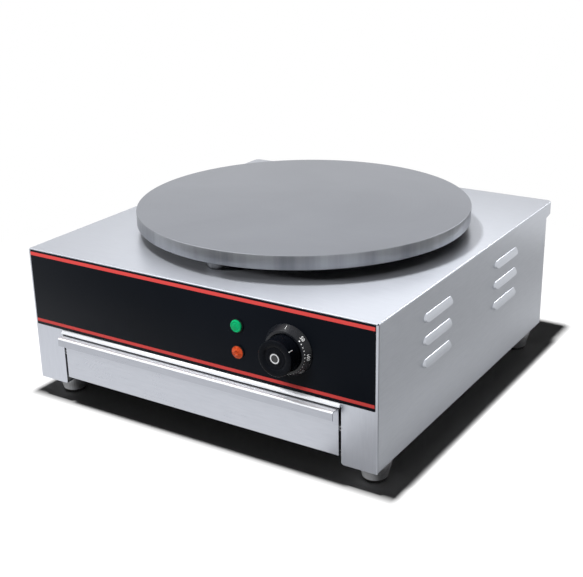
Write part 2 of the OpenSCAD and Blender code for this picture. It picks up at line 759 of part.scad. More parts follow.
module clamp_disc() color("gray") difference() {
    translate([0, plate_y, clamp_z]) cylinder(r = clamp_r, h = clamp_t);
    stack_holes(clamp_z - 1, clamp_z + clamp_t + 1, rest_gap);
}

module insulation_pad() color("beige") difference() {
    translate([0, plate_y, pad_z]) cylinder(r = pan_r - pan_t - pad_side_gap, h = pad_t);
    stack_holes(pad_z - 1, pad_z + pad_t + 1, rest_gap);
}

module insulation_pan() color("lightgray") difference() {
    translate([0, plate_y, pan_z]) cylinder(r = pan_r, h = pan_top - pan_z);
    translate([0, plate_y, pad_z]) cylinder(r = pan_r - pan_t, h = pan_top);
    stack_holes(pan_z - 1, pad_z + 1, rest_gap);
}

module centre_stud() color("darkgray") translate([0, plate_y, stud_bottom])
    cylinder(r = stud_r, h = plate_z + plate_hole_depth - 1 - stud_bottom);

module centre_nut() color("darkgray") translate([0, plate_y, 0])
    hex_nut(1.85 * stud_r, stud_r + fit, pan_z - centre_nut_h, pan_z);

module sensor_bulb() color([0.72, 0.45, 0.3]) translate([-bulb_l / 2, bulb_y, bulb_z])
    rotate([0, 90, 0]) cylinder(r = bulb_r, h = bulb_l);

module bulb_clip() color("gray") difference() {
    block([-clip_half, bulb_y - bulb_r - clip_wall, clamp_z + clamp_t],
        [clip_half, bulb_y + bulb_r + clip_wall, plate_z - rest_gap]);
    translate([-clip_half - 1, bulb_y, bulb_z]) rotate([0, 90, 0])
        cylinder(r = bulb_r + fit, h = 2 * clip_half + 2);
}

module capillary_tube() color([0.72, 0.45, 0.3]) wire([
    [bulb_l / 2 + rest_gap, bulb_y, bulb_z],
    [capillary_x, bulb_y, bulb_z],
    [capillary_x, capillary_y, bulb_z - 2],
    [capillary_x, capillary_y, clamp_z],
    [capillary_x, capillary_y, pan_z - 12],
    [(capillary_x + knob_x) / 2, (capillary_y + thermo_back) / 2, knob_z + 12],
    [knob_x, thermo_back + 3 * wire_lead, knob_z + 10],
    [knob_x, thermo_back + rest_gap, knob_z + 10]], capillary_r);

module limit_switch() color([0.2, 0.2, 0.22]) translate([limit_x, limit_y, 0]) {
    translate([0, 0, pan_z - limit_flange]) cylinder(r = limit_r + limit_flange, h = limit_flange);
    translate([0, 0, pan_z - limit_h]) cylinder(r = limit_r, h = limit_h);
    for (s = [-1, 1]) translate([s * limit_r / 2 - tab_t / 2, -3, limit_tab]) cube([tab_t, 6, tab_l + 1]);
}

// --- thermostat, knob and lamps -------------------------------------------------------------

module thermostat_body() color([0.85, 0.83, 0.78]) at_front(knob_x, knob_z) difference() {
    union() {
        translate([-thermo_w / 2, -thermo_h / 2, -sheet - thermo_d]) cube([thermo_w, thermo_h, thermo_d]);
        translate([0, 0, -sheet - 1]) cylinder(r = bush_r, h = bush_p + sheet + 1);
        for (s = [-1, 1])
            translate([s * thermo_tab_x - tab_t / 2, -thermo_tab_drop - 3, -sheet - thermo_d - thermo_tab_l])
                cube([tab_t, 6, thermo_tab_l + 1]);
    }
    translate([0, 0, -shaft_in - rest_gap]) cylinder(r = shaft_r + shaft_clear, h = shaft_in + knob_proud);
}

module bush_nut() color("lightgray") at_front(knob_x, knob_z)
    hex_nut(bush_nut_r, bush_r + fit, nut_p, nut_p + nut_h);

module dial_ring() color([0.08, 0.08, 0.09]) at_front(knob_x, knob_z) rotate_extrude() polygon([
    [bush_hole_r, overlay_t], [dial_r, overlay_t], [dial_r, overlay_t + dial_foot_h],
    [dial_front_r, dial_proud - dial_bevel], [dial_front_r - dial_bevel, dial_proud],
    [dial_bore_r, dial_proud], [dial_bore_r, nut_p], [bush_hole_r, nut_p]]);

module thermostat_shaft() color("lightgray") at_front(knob_x, knob_z)
    translate([0, 0, -shaft_in]) cylinder(r = shaft_r, h = shaft_in + knob_proud - face_wall);

// Cross-section of the grip: hub, cavity, outer wall, and the dish in its face
module grip_section() difference() {
    polygon([[0, grip_p], [grip_r, grip_p], [grip_r, knob_proud - grip_bevel],
        [grip_r - grip_bevel, knob_proud], [dish_r, knob_proud],
        [dish_r - dish_depth, knob_proud - dish_depth], [0, knob_proud - dish_depth]]);
    translate([hub_r, grip_p - eps]) square([grip_r - grip_wall - hub_r, knob_proud - face_wall - grip_p]);
    translate([0, grip_p - eps]) square([hub_r + eps, hub_p - grip_p + eps]);
    translate([-eps, grip_p - eps])
        square([shaft_r + fit / 2 + eps, knob_proud - face_wall + rest_gap - grip_p]);
}

// The pointer bar, or with some clearance the groove for it in the grip's rim
module pointer_bar(clear) rotate([0, 0, -pointer_turn])
    translate([-pointer_w / 2 - clear, grip_r - pointer_t - clear,
        knob_proud - pointer_from_face - pointer_l - clear])
        cube([pointer_w + 2 * clear, pointer_t + pointer_proud + clear, pointer_l + 2 * clear]);

module knob_grip() color([0.07, 0.07, 0.08]) at_front(knob_x, knob_z) difference() {
    rotate_extrude() grip_section();
    pointer_bar(fit / 2);
}

module knob_cap() color("silver") at_front(knob_x, knob_z)
    translate([0, 0, knob_proud - dish_depth]) cylinder(r = cap_r, h = cap_t);

module knob_pointer() color("white") at_front(knob_x, knob_z) pointer_bar(0);

module lens() {
    translate([0, 0, overlay_t]) cylinder(r = lamp_r, h = lamp_rim_t);
    translate([0, 0, overlay_t + lamp_rim_t - 0.01])
        cylinder(r1 = lamp_r - lamp_step, r2 = lamp_r - lamp_step - lamp_taper,
            h = lamp_proud - overlay_t - lamp_rim_t + 0.01);
    translate([0, 0, -lamp_neck_l]) cylinder(r = lamp_neck_r, h = lamp_neck_l + overlay_t + 0.5);
}
module power_lamp_lens() color([0.1, 0.7, 0.35]) at_front(lamp_x, z_top - power_lamp_drop) lens();
module heat_lamp_lens() color([0.85, 0.35, 0.15]) at_front(lamp_x, z_top - heat_lamp_drop) lens();

module lamp_holders() color([0.12, 0.12, 0.12]) each_lamp() {
    translate([0, 0, -lamp_neck_l - holder_l]) cylinder(r = lamp_neck_r + holder_wall, h = holder_l);
    for (s = [-1, 1]) translate([s * lamp_tab_x - tab_t / 2, -1.5, -lamp_neck_l - holder_l - lamp_tab_l])
        cube([tab_t, 3, lamp_tab_l + 1]);
}

module lamp_clips() color("lightgray") each_lamp()
    sleeve(lamp_neck_r + 3, lamp_neck_r + fit, -sheet - 1.5, -sheet);

// --- electrics ------------------------------------------------------------------------------

pole_y = [-7, 7];
pole_drill_z = deck_top + 9;
wire_hole_z = pole_drill_z - 3;
block_front = block_pos[1] - block_size[1] / 2;
function pole_x(i) = block_pos[0] + (i - (poles - 1) / 2) * pole_pitch;

module terminal_block() color("ivory") difference() {
    translate(block_pos - [block_size[0] / 2, block_size[1] / 2, 0]) cube(block_size);
    for (i = [0:poles - 1], y = pole_y) translate([pole_x(i), block_pos[1] + y, pole_drill_z])
        cylinder(r = 2.4, h = block_size[2]);
    for (i = [0:poles - 1]) translate([pole_x(i), block_front - 1, wire_hole_z])
        rotate([-90, 0, 0]) cylinder(r = power_wire_r + rest_gap, h = 6);
    each_block_screw() translate([0, 0, deck_top + 10]) cylinder(r = 3.9, h = block_size[2]);
    each_block_screw() translate([0, 0, deck_top - 1]) cylinder(r = screw_r + fit, h = block_size[2]);
}

module terminal_screws() color("darkgoldenrod") {
    for (i = [0:poles - 1], y = pole_y) translate([pole_x(i), block_pos[1] + y, pole_drill_z])
        cylinder(r = 2.3, h = block_size[2] - 10);
    each_block_screw() {
        translate([0, 0, deck_top + 10]) cylinder(r = screw_head_r, h = 2);
        translate([0, 0, deck_z - 3]) cylinder(r = screw_r, h = deck_top + 10 - deck_z + 3.01);
    }
}

// Ends of the wires: just off the tabs and pins, and inside the block's holes
function thermo_tab(s, dz) =
    [knob_x + s * thermo_tab_x, thermo_back + thermo_tab_l + rest_gap, knob_z - thermo_tab_drop + dz];
function element_pin(r, s) = [s * leg_half, leg_y(r), pin_bottom - rest_gap];
function limit_end(s) = [limit_x + s * limit_r / 2, limit_y, limit_tab - rest_gap];
function lamp_tab(d, s) =
    [lamp_x + s * lamp_tab_x, y_front + lamp_neck_l + holder_l + lamp_tab_l + rest_gap, z_top - d];
function pole_end(i) = [pole_x(i), block_front + 4, wire_hole_z];
back = [0, wire_lead, 0];
down = [0, 0, -wire_lead];

// Wires that carry the heating current: block, thermostat, limit switch, elements and back
module power_wires() color([0.5, 0.12, 0.1]) {
    r = power_wire_r;
    a = pole_end(0);
    b = thermo_tab(-1, -1.5);
    wire([a, a - back, [a[0], plate_y - 80, wire_low], [a[0] + 50, y_front + 75, wire_low],
        [b[0] - 30, y_front + 75, wire_low], b + 2.5 * back + [0, 0, -20], b + back, b], r);
    c = thermo_tab(1, -1.5);
    d = limit_end(1);
    wire([c, c + back, [c[0], plate_y - 100, limit_tab - 30], [d[0] + 25, limit_y - 40, limit_tab - 30],
        d + 2 * down, d], r);
    e = limit_end(-1);
    f = element_pin(outer_ring_r, 1);
    wire([e, e + down, [(e[0] + f[0]) / 2, (e[1] + f[1]) / 2, limit_tab - 26], f + down, f], r);
    g = pole_end(1);
    h = element_pin(outer_ring_r, -1);
    wire([g, g - back, g - 2.3 * back - down, [(g[0] + h[0]) / 2, plate_y + 95, pin_bottom - 24],
        h + down, h], r);
    for (s = [-1, 1]) {
        i = element_pin(outer_ring_r, s) + [s * (pin_r + r + rest_gap), 0, pin_l / 2];
        j = element_pin(inner_ring_r, s);
        wire([i + [0, pin_r, 0], i - back, j + down + [0, 10, 0], j + down, j], r);
    }
}

// Wires of the two lamps, each at its own height across the inner deck
module lamp_wires() color([0.2, 0.25, 0.55]) {
    for (k = [0:2]) {
        a = lamp_tab(lamp_drops[k == 0 ? 1 : 0], k == 2 ? 1 : -1);
        b = pole_end(k + 2);
        across = deck_top + 12 + 4 * k;
        wire([a, a + (0.9 + 0.4 * k) * back, [a[0] - 20 + 8 * k, a[1] + 40 + 12 * k, across],
            [b[0], plate_y - 60 + 20 * k, across], b - back, b], lamp_wire_r);
    }
    a = lamp_tab(lamp_drops[1], 1);
    b = thermo_tab(1, 1.7);
    wire([a, a + 0.7 * back, a + [8, 22, 16], b + [-8, 24, 10], b + back, b], lamp_wire_r);
}

module bond_wire() color([0.55, 0.7, 0.15]) {
    a = pole_end(5);
    b = [bond_x + bond_hex_r + power_wire_r + rest_gap, y_rear - sheet - bond_head_t / 2, gland_z];
    wire([a, a - back, a + [14, -20, 4], [bond_x + 14, block_front - 4, gland_z - 12], b - 2 * back, b],
        power_wire_r);
}

module cable_gland() color([0.12, 0.12, 0.13]) at_rear(gland_x, gland_z) difference() {
    union() {
        translate([0, 0, -gland_in]) cylinder(r = gland_thread_r, h = gland_l);
        cylinder(r = gland_hex_r, h = gland_flange_t, $fn = 6);
    }
    translate([0, 0, -gland_in - 1]) cylinder(r = gland_bore_r, h = gland_l + 2);
}

module gland_nut() color([0.12, 0.12, 0.13]) at_rear(gland_x, gland_z)
    translate([0, 0, gland_flange_t + rest_gap]) difference() {
        union() {
            cylinder(r = gland_hex_r - 0.5, h = gland_nut_l, $fn = 6);
            translate([0, 0, gland_nut_l])
                cylinder(r1 = gland_thread_r + 1.6, r2 = gland_thread_r - 1, h = gland_dome_l);
        }
        translate([0, 0, -1])
            cylinder(r = gland_thread_r + fit, h = gland_l - gland_in - gland_flange_t + seal_t + 1);
        translate([0, 0, -1]) cylinder(r = gland_bore_r + 0.5, h = gland_nut_l + gland_dome_l + 2);
    }

module gland_seal() color([0.25, 0.25, 0.25]) at_rear(gland_x, gland_z)
    sleeve(gland_thread_r - 2 * fit, gland_bore_r + rest_gap, gland_l - gland_in,
        gland_l - gland_in + seal_t);

module gland_locknut() color([0.12, 0.12, 0.13]) at_rear(gland_x, gland_z)
    hex_nut(gland_hex_r, gland_thread_r + fit, -sheet - gland_flange_t, -sheet);

module bond_stud() color("goldenrod") at_rear(bond_x, gland_z) {
    translate([0, 0, -sheet - bond_head_t]) cylinder(r = bond_hex_r, h = bond_head_t, $fn = 6);
    translate([0, 0, -sheet - 1]) cylinder(r = bond_neck_r, h = bond_nut_t + sheet + 1);
    cylinder(r = bond_r, h = bond_l);
}

module bond_nut() color("goldenrod") at_rear(bond_x, gland_z)
    hex_nut(bond_hex_r, bond_neck_r + fit, 0, bond_nut_t);

// --- drawer ---------------------------------------------------------------------------------

// Side view of the drawer front: hem, face, top bent forwards into the handle lip, hanging flange
module drawer_front() color("whitesmoke") along_x(-drawer_x, drawer_x) polygon([
    [y_front + drawer_hem, drawer_bottom], [y_front, drawer_bottom], [y_front, drawer_top - sheet],
    [y_front - handle_out + sheet, drawer_top - sheet],
    [y_front - handle_out + sheet, drawer_top - handle_drop],
    [y_front - handle_out, drawer_top - handle_drop], [y_front - handle_out, drawer_top],
    [y_front + sheet, drawer_top], [y_front + sheet, drawer_bottom + sheet],
    [y_front + drawer_hem, drawer_bottom + sheet]]);

module drawer_tray() color("silver") difference() {
    union() {
        block([-tray_x, tray_front, tray_bottom], [tray_x, tray_front + tray_l, tray_top]);
        block([-tray_x, tray_front, tray_bottom], [tray_x, tray_front + tray_t, drawer_top - sheet - 1]);
        block([-rim_x, tray_front, tray_top - tray_t], [rim_x, tray_front + tray_l, tray_top]);
    }
    block([-tray_x + tray_t, tray_front + tray_t, tray_bottom + tray_t],
        [tray_x - tray_t, tray_front + tray_l - tray_t, drawer_top]);
}

outer_shell();
front_panel();
control_overlay();
rear_panel();
rear_screws();
base_plate();
inner_deck();
drawer_walls();
deck_rivets();
base_rivets();
runner_left();
runner_right();
foot_cups();
foot_pads();
foot_bolts();
foot_nuts();
support_ring();
hotplate();
plate_posts();
post_bolts();
outer_element();
inner_element();
element_beads();
clamp_disc();
insulation_pad();
insulation_pan();
centre_stud();
centre_nut();
sensor_bulb();
bulb_clip();
capillary_tube();
limit_switch();
thermostat_body();
bush_nut();
dial_ring();
thermostat_shaft();
knob_grip();
knob_cap();
knob_pointer();
power_lamp_lens();
heat_lamp_lens();
lamp_holders();
lamp_clips();
terminal_block();
terminal_screws();
power_wires();
lamp_wires();
bond_wire();
cable_gland();
gland_nut();
gland_seal();
gland_locknut();
bond_stud();
bond_nut();
drawer_front();
drawer_tray();
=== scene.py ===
# %% [markdown]
# # An electric crepe maker, dressed around its CAD frame
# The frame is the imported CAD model: exact solids that already have their real sizes and joints.
# This lesson adds what the CAD leaves out: rounded bends in folded sheet, pressed louvres, a turned
# hotplate, numbers on the dial, and materials. Lengths on the object are in millimetres, because
# that is how a sheet-metal drawing is read, and `mm` turns them into Blender's metres. Only the
# studio around it is measured in metres.

# %% Load the frame
import json
import math

import bmesh
import bpy
from mathutils import Matrix, Vector


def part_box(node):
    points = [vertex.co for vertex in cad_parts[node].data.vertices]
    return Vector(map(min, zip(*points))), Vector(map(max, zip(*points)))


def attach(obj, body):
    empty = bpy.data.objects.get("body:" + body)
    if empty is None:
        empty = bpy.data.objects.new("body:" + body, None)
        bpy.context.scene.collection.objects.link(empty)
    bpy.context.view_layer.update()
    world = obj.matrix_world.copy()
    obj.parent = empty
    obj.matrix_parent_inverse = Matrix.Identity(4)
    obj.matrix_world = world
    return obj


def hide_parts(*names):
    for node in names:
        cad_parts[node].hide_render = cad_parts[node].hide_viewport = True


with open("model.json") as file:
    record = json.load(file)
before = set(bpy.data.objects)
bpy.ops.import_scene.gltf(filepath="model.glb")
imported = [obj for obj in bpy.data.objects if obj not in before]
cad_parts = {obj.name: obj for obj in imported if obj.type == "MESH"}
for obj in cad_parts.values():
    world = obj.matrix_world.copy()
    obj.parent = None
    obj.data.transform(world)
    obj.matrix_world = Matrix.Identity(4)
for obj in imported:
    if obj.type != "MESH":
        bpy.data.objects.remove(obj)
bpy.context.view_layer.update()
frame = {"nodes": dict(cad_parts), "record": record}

mm = 0.001
nodes = frame["nodes"]

# %% [markdown]
# ## The camera
# The camera stands to the right of the front and looks down by about twenty degrees, so that three
# faces of the box show. A long lens keeps the perspective calm. A Track To constraint could aim it,
# but here its three axes are known, so they go straight into its matrix: right, up and backwards,
# because a Blender camera looks along its own -Z.

# %% Camera
camera_place = Vector((675.62, -1066.74, 590.95)) * mm
camera_right = Vector((0.84443487, 0.53533994, -0.01846324))
camera_down = Vector((0.17707092, -0.31150701, -0.93360017))
camera_forward = camera_right.cross(camera_down)

bpy.ops.object.camera_add()
camera = bpy.context.object
camera.name = "studio_camera"
turn = Matrix((camera_right, -camera_down, -camera_forward)).transposed()
camera.matrix_world = Matrix.Translation(camera_place) @ turn.to_4x4()
camera.data.sensor_width = 36
camera.data.lens = 67.875
camera.data.clip_start, camera.data.clip_end = 0.05, 50
bpy.context.scene.camera = camera
print("camera looks along", [round(v, 3) for v in camera_forward])

# %% [markdown]
# ## Materials are small networks
# Coordinates go into a material, noise and arithmetic shape them, and a shader turns the results
# into colour, roughness and bump. The nodes could be placed by hand in the Shader Editor. In code,
# one helper adds a node and feeds it, and the others name the few steps that come back in every
# finish, so that each finish below reads like a recipe.

# %% Node helpers
def new_material(name):
    """An empty material and its node tree."""
    made = bpy.data.materials.new(name)
    made.use_nodes = True
    made.node_tree.nodes.clear()
    return made, made.node_tree


def add(tree, kind, inputs=None, **settings):
    """Adds a node. Its `inputs` take plain values or other nodes' outputs, by name or number.
    Its `settings` are properties, or plain inputs where the node has no such property."""
    node = tree.nodes.new("ShaderNode" + kind)
    for name, value in settings.items():
        if hasattr(node, name):
            setattr(node, name, value)
        else:
            node.inputs[name.replace("_", " ")].default_value = value
    for name, source in (inputs or {}).items():
        if isinstance(source, bpy.types.NodeSocket):
            tree.links.new(source, node.inputs[name])
        else:
            node.inputs[name].default_value = source
    return node


def calc(tree, operation, a, b):
    """One sum on two numbers or outputs."""
    return add(tree, "Math", {0: a, 1: b}, operation=operation).outputs[0]


def between(tree, value, low, high, start=0.0, stop=1.0):
    """Spreads a value from start..stop over low..high."""
    node = add(tree, "MapRange", {"Value": value}, From_Min=start, From_Max=stop, To_Min=low, To_Max=high)
    return node.outputs["Result"]


def noise(tree, vector, scale, detail=2.0, roughness=0.5, distortion=0.0):
    """Clouds of values around one half."""
    return add(tree, "TexNoise", {"Vector": vector, "Scale": scale}, Detail=detail, Roughness=roughness,
               Distortion=distortion).outputs[0]


def shade(tree, factor, dark, light):
    """A colour between two, chosen by a value from 0 to 1; each is a colour or another output."""
    pair = [colour if isinstance(colour, bpy.types.NodeSocket) else (*colour, 1) for colour in (dark, light)]
    return add(tree, "Mix", {"Factor": factor, 6: pair[0], 7: pair[1]}, data_type="RGBA").outputs[2]


def put_out(material, shader):
    """Makes a shader the surface of a material, and returns the material."""
    add(material.node_tree, "OutputMaterial", {"Surface": shader})
    return material


def surface(material, inputs, metallic=0.0, specular=0.5):
    """Ends a material with the Principled shader."""
    shader = add(material.node_tree, "BsdfPrincipled", inputs, Metallic=metallic)
    shader.inputs["Specular IOR Level"].default_value = specular
    return put_out(material, shader.outputs[0])


def see_through(tree, factor, a, b=None):
    """Two shaders mixed by a value; the second is plain transparent if it isn't given."""
    b = b or add(tree, "BsdfTransparent").outputs[0]
    return add(tree, "MixShader", {0: factor, 1: a, 2: b}).outputs[0]


def drop_selection():
    """Leaves edit mode and deselects everything, so that an operator meets only its own piece."""
    if bpy.context.mode != "OBJECT":
        bpy.ops.object.mode_set(mode="OBJECT")
    bpy.ops.object.select_all(action="DESELECT")


def fresh(name):
    """Names what an operator has just added."""
    made = bpy.context.object
    made.name = made.data.name = name
    return made


# %% [markdown]
# ## Floor and world
# The appliance stands on a plain pale floor that fades out before its edge. It gives back less
# light to rays that come from the object, so its shadow stays dark. The world shows white to the
# camera and to shiny surfaces, so the steel has something bright to reflect, and gives dull ones
# that are met after a bounce only a little light.

# %% Floor and world
drop_selection()
bpy.ops.mesh.primitive_circle_add(vertices=96, radius=0.9, fill_type="NGON", location=(0, 0, -0.0002))
floor = fresh("studio_floor")

paint, tree = new_material("floor_paint")
place = add(tree, "TexCoord").outputs["Object"]
bounce = between(tree, add(tree, "LightPath").outputs["Diffuse Depth"], 1.0, 0.15)
tone = calc(tree, "MULTIPLY", between(tree, noise(tree, place, 3.0), 0.55, 0.57), bounce)
shader = add(tree, "BsdfPrincipled", {"Base Color": tone, "Specular IOR Level": 0.0}, Roughness=0.9)
distance = add(tree, "VectorMath", {0: place}, operation="LENGTH").outputs["Value"]
fade = add(tree, "MapRange", {"Value": distance}, interpolation_type="SMOOTHSTEP", From_Min=0.45, From_Max=0.75)
floor.data.materials.append(put_out(paint, see_through(tree, fade.outputs["Result"], shader.outputs[0])))

world = bpy.data.worlds.new("studio_world")
bpy.context.scene.world = world
world.use_nodes = True
tree = world.node_tree
tree.nodes.clear()
rays = add(tree, "LightPath").outputs
seen = calc(tree, "MAXIMUM", rays["Is Camera Ray"], rays["Is Glossy Ray"])
seen = calc(tree, "MAXIMUM", seen, rays["Is Transmission Ray"])
seen = calc(tree, "MULTIPLY", seen, calc(tree, "LESS_THAN", rays["Diffuse Depth"], 0.5))
sky = add(tree, "Background", {"Strength": between(tree, seen, 0.03, 1.0)}, Color=(1, 1, 1, 1))
add(tree, "OutputWorld", {"Surface": sky.outputs[0]})
bpy.context.scene.view_settings.view_transform = "Standard"
print("floor and world:", floor.name, world.name)

# %% [markdown]
# ## Lamps
# Two lamps hang above: a wide one for the object and a small one for the floor, because a small
# lamp draws a crisp shadow. Light linking, a collection of the objects that a lamp may reach,
# keeps them apart, as flags and snoots do in a real studio. Front, back, low and accent lamps each
# lift one part of the steel, and the gap lamp shines in under the hotplate from a low place on the
# left.

# %% Lamps above and around
def towards(place, aim):
    """The turn of a lamp at a place that looks at a point."""
    return (Vector(place) - Vector(aim)).to_track_quat("Z", "Y").to_euler()


def softbox(name, place, aim, size, watts):
    """A square area lamp that hangs at a place and looks at a point, both in metres."""
    drop_selection()
    bpy.ops.object.light_add(type="AREA", location=place, rotation=towards(place, aim))
    lamp = fresh(name)
    lamp.data.shape = "SQUARE"
    lamp.data.size = size
    lamp.data.energy = watts
    return lamp


overhead = softbox("overhead_lamp", (-0.3, -0.2, 6.0), (0, 0, 0.1), 4.0, 275)
floor_light = softbox("floor_lamp", (-0.34, -1.3, 6.0), (0, 0, 0.1), 0.4, 800)
key = softbox("key_lamp", (-1.3, -0.9, 2.5), (0, -0.1, 0.1), 1.7, 22)
fill = softbox("front_lamp", (-0.5, -2.8, 2.3), (0, -0.2, 0.1), 1.2, 130)
edge = softbox("back_lamp", (1.1, 2.2, 1.5), (0.2, 0, 0.15), 0.5, 10)
low_light = softbox("low_lamp", (-1.5, -2.2, 0.35), (0, -0.2, 0.02), 0.6, 25)
drop_selection()
accent_place = (-1.1, 0.3, 2.3)
bpy.ops.object.light_add(type="SPOT", location=accent_place, rotation=towards(accent_place, (0.21, -0.11, 0.19)))
accent = fresh("accent_lamp")
accent.data.spot_size, accent.data.spot_blend = math.radians(17), 1.0
accent.data.shadow_soft_size = 0.2
accent.data.energy = 1680
gap_light = softbox("gap_lamp", (-1.85, -1.25, 0.70), (-0.12, -0.08, 0.165), 0.3, 120)

for lamp in (overhead, floor_light, fill, low_light, accent, gap_light):
    lamp.visible_glossy = False
key.visible_diffuse = False


def lamp_reach(name, pieces, leave_out=False):
    """A collection for light linking: only these pieces, or all but these."""
    made = bpy.data.collections.new(name)
    for piece in pieces:
        made.objects.link(piece)
    if leave_out:
        for item in made.collection_objects:
            item.light_linking.link_state = "EXCLUDE"
    return made


off_the_floor = lamp_reach("lit_by_the_floor_lamp_alone", [floor], leave_out=True)
for lamp in (overhead, key, edge):
    lamp.light_linking.receiver_collection = off_the_floor
floor_light.light_linking.receiver_collection = lamp_reach("lit_by_the_floor_lamp", [floor])

# %% [markdown]
# ## Cards and a flag
# Bare steel shows its surroundings, so a studio surrounds it with cards. Pale and grey ones lie on
# the floor for the sides to mirror, dark ones hang level with the front for the lower steel. They
# are seen in reflections only. The flag is the opposite: nothing sees it and it only throws a
# shadow, which closes the light that would slip in under the box between the feet.

# %% Cards and flag
def level_sheet(name, low, high, height, margin, hidden_from):
    """A level rectangle between two corners in metres, which some rays don't see."""
    drop_selection()
    middle = [(a + b) / 2 for a, b in zip(low, high)]
    bpy.ops.mesh.primitive_plane_add(size=1, location=(*middle, height))
    made = fresh(name)
    made.scale = (high[0] - low[0] + margin, high[1] - low[1] + margin, 1)
    bpy.ops.object.transform_apply(location=True, scale=True)
    for ray in hidden_from:
        setattr(made, "visible_" + ray, False)
    return made


def reflected_card(name, low, high, tone, height=0.0002):
    """A sheet of card that only reflections see, and only from above."""
    card = level_sheet(name, low, high, height, 0, ("camera", "diffuse", "transmission", "shadow"))
    felt, tree = new_material(name)
    weave = noise(tree, add(tree, "TexCoord").outputs["Object"], 200.0)
    shader = add(tree, "BsdfPrincipled", {"Base Color": between(tree, weave, 0.9 * tone, 1.1 * tone),
                                          "Specular IOR Level": 0.0}, Roughness=1.0)
    under = add(tree, "NewGeometry").outputs["Backfacing"]
    card.data.materials.append(put_out(felt, see_through(tree, under, shader.outputs[0])))


def shadow_flag(name, low, high, height=0.003):
    """A sheet that only throws a shadow; its edges fade, so the shadow's outline is soft."""
    flag = level_sheet(name, low, high, height, 0.04, ("camera", "diffuse", "glossy", "transmission"))
    cloth, tree = new_material(name)
    place = add(tree, "SeparateXYZ", {0: add(tree, "TexCoord").outputs["Object"]}).outputs
    dense = 1.0
    for axis, at, fade in ((0, low[0], -0.005), (0, high[0], 0.004), (1, low[1], -0.008), (1, high[1], 0.008)):
        dense = calc(tree, "MULTIPLY", dense, between(tree, place[axis], 1.0, 0.0, at - fade, at + fade))
    black = add(tree, "BsdfDiffuse", Color=(0.01, 0.01, 0.01, 1)).outputs[0]
    clear = add(tree, "BsdfTransparent").outputs[0]
    flag.data.materials.append(put_out(cloth, see_through(tree, dense, clear, black)))


shadow_flag("floor_flag", (-0.247, -0.2215), (0.247, 0.240))
reflected_card("near_card", (0.24, -0.37), (0.31, 0.64), 0.95, 0.0035)
reflected_card("grey_card", (0.31, -0.37), (1.1, 0.64), 0.62)
reflected_card("leg_card", (0.14, -0.42), (0.235, -0.235), 0.8)
reflected_card("front_card", (-0.40, -0.62), (0.90, -0.223), 0.10, 0.186)
reflected_card("right_card", (0.236, -0.223), (0.90, 0.60), 0.10, 0.186)

# %% [markdown]
# ## Effects that several finishes share
# Brushed grain, smudges from handling and fine turning marks appear on more than one material.
# Each is a node group: built once, then placed in every material with its own value. A group only
# hands out grey values between 0 and 1, and the material decides what they do to its colour,
# roughness or bump.

# %% Shared node groups
def scaled(tree, vector, factors):
    """Stretches or squeezes a pattern along each axis."""
    return add(tree, "VectorMath", {0: vector, 1: factors}, operation="MULTIPLY").outputs[0]


def axis_distance(tree, vector):
    """How far a place is from the Z axis."""
    flat = scaled(tree, vector, (1, 1, 0))
    return add(tree, "VectorMath", {0: flat}, operation="LENGTH").outputs["Value"]


def grain(tree, vector, fineness):
    """Long streaks along X: two noises squeezed across the streaks, a coarse and a fine one."""
    coarse = noise(tree, scaled(tree, vector, (0.012, 1, 1)), fineness, 3.0, 0.7)
    fine = noise(tree, scaled(tree, vector, (0.05, 0.35, 0.35)), fineness)
    return calc(tree, "MULTIPLY", calc(tree, "ADD", coarse, fine), 0.5)


def smudge(tree, vector, size):
    """Broad soft patches where hands and cloths have passed."""
    return between(tree, noise(tree, vector, size, 4.0, 0.55, 0.6), 0, 1, 0.3, 0.7)


def turning(tree, vector, fineness):
    """Rings left by a lathe tool around the Z axis: noise that only depends on the radius."""
    line = add(tree, "CombineXYZ", {0: axis_distance(tree, vector)}).outputs[0]
    return noise(tree, line, fineness, 3.0, 0.65)


def mottle(tree, vector, size):
    """Fine cloudy speckle of cast or moulded surfaces."""
    return noise(tree, vector, size, 6.0, 0.7)


def shared(name, number, build):
    """A node group: coordinates and one number go in, and what `build` makes of them comes out."""
    group = bpy.data.node_groups.new(name, "ShaderNodeTree")
    group.interface.new_socket(name="Vector", in_out="INPUT", socket_type="NodeSocketVector")
    group.interface.new_socket(name=number, in_out="INPUT", socket_type="NodeSocketFloat")
    group.interface.new_socket(name="Value", in_out="OUTPUT", socket_type="NodeSocketFloat")
    entry = group.nodes.new("NodeGroupInput").outputs
    value = build(group, entry["Vector"], entry[number])
    group.links.new(value, group.nodes.new("NodeGroupOutput").inputs["Value"])
    return group


GRAIN = shared("Brushed grain", "Fineness", grain)
SMUDGE = shared("Handling marks", "Size", smudge)
TURNING = shared("Turning marks", "Fineness", turning)
MOTTLE = shared("Mottle", "Size", mottle)


def effect(tree, group, vector, number):
    """Places a shared group in a material with its number; returns its value."""
    return add(tree, "Group", node_tree=group, inputs={0: vector, 1: number}).outputs["Value"]


def place_vector(tree, turn=(0, 0, 0), centre=(0, 0, 0)):
    """Object coordinates, moved so that `centre` in millimetres is zero, then turned."""
    coordinates = add(tree, "TexCoord").outputs["Object"]
    mapping = add(tree, "Mapping", {"Vector": coordinates}, vector_type="TEXTURE")
    mapping.inputs["Location"].default_value = [c * mm for c in centre]
    mapping.inputs["Rotation"].default_value = turn
    return mapping.outputs[0]


def bump(tree, height, strength, distance):
    """A bump from a height value; distance in millimetres."""
    return add(tree, "Bump", {"Height": height}, Strength=strength, Distance=distance * mm).outputs[0]


print("node groups:", [g.name for g in bpy.data.node_groups])

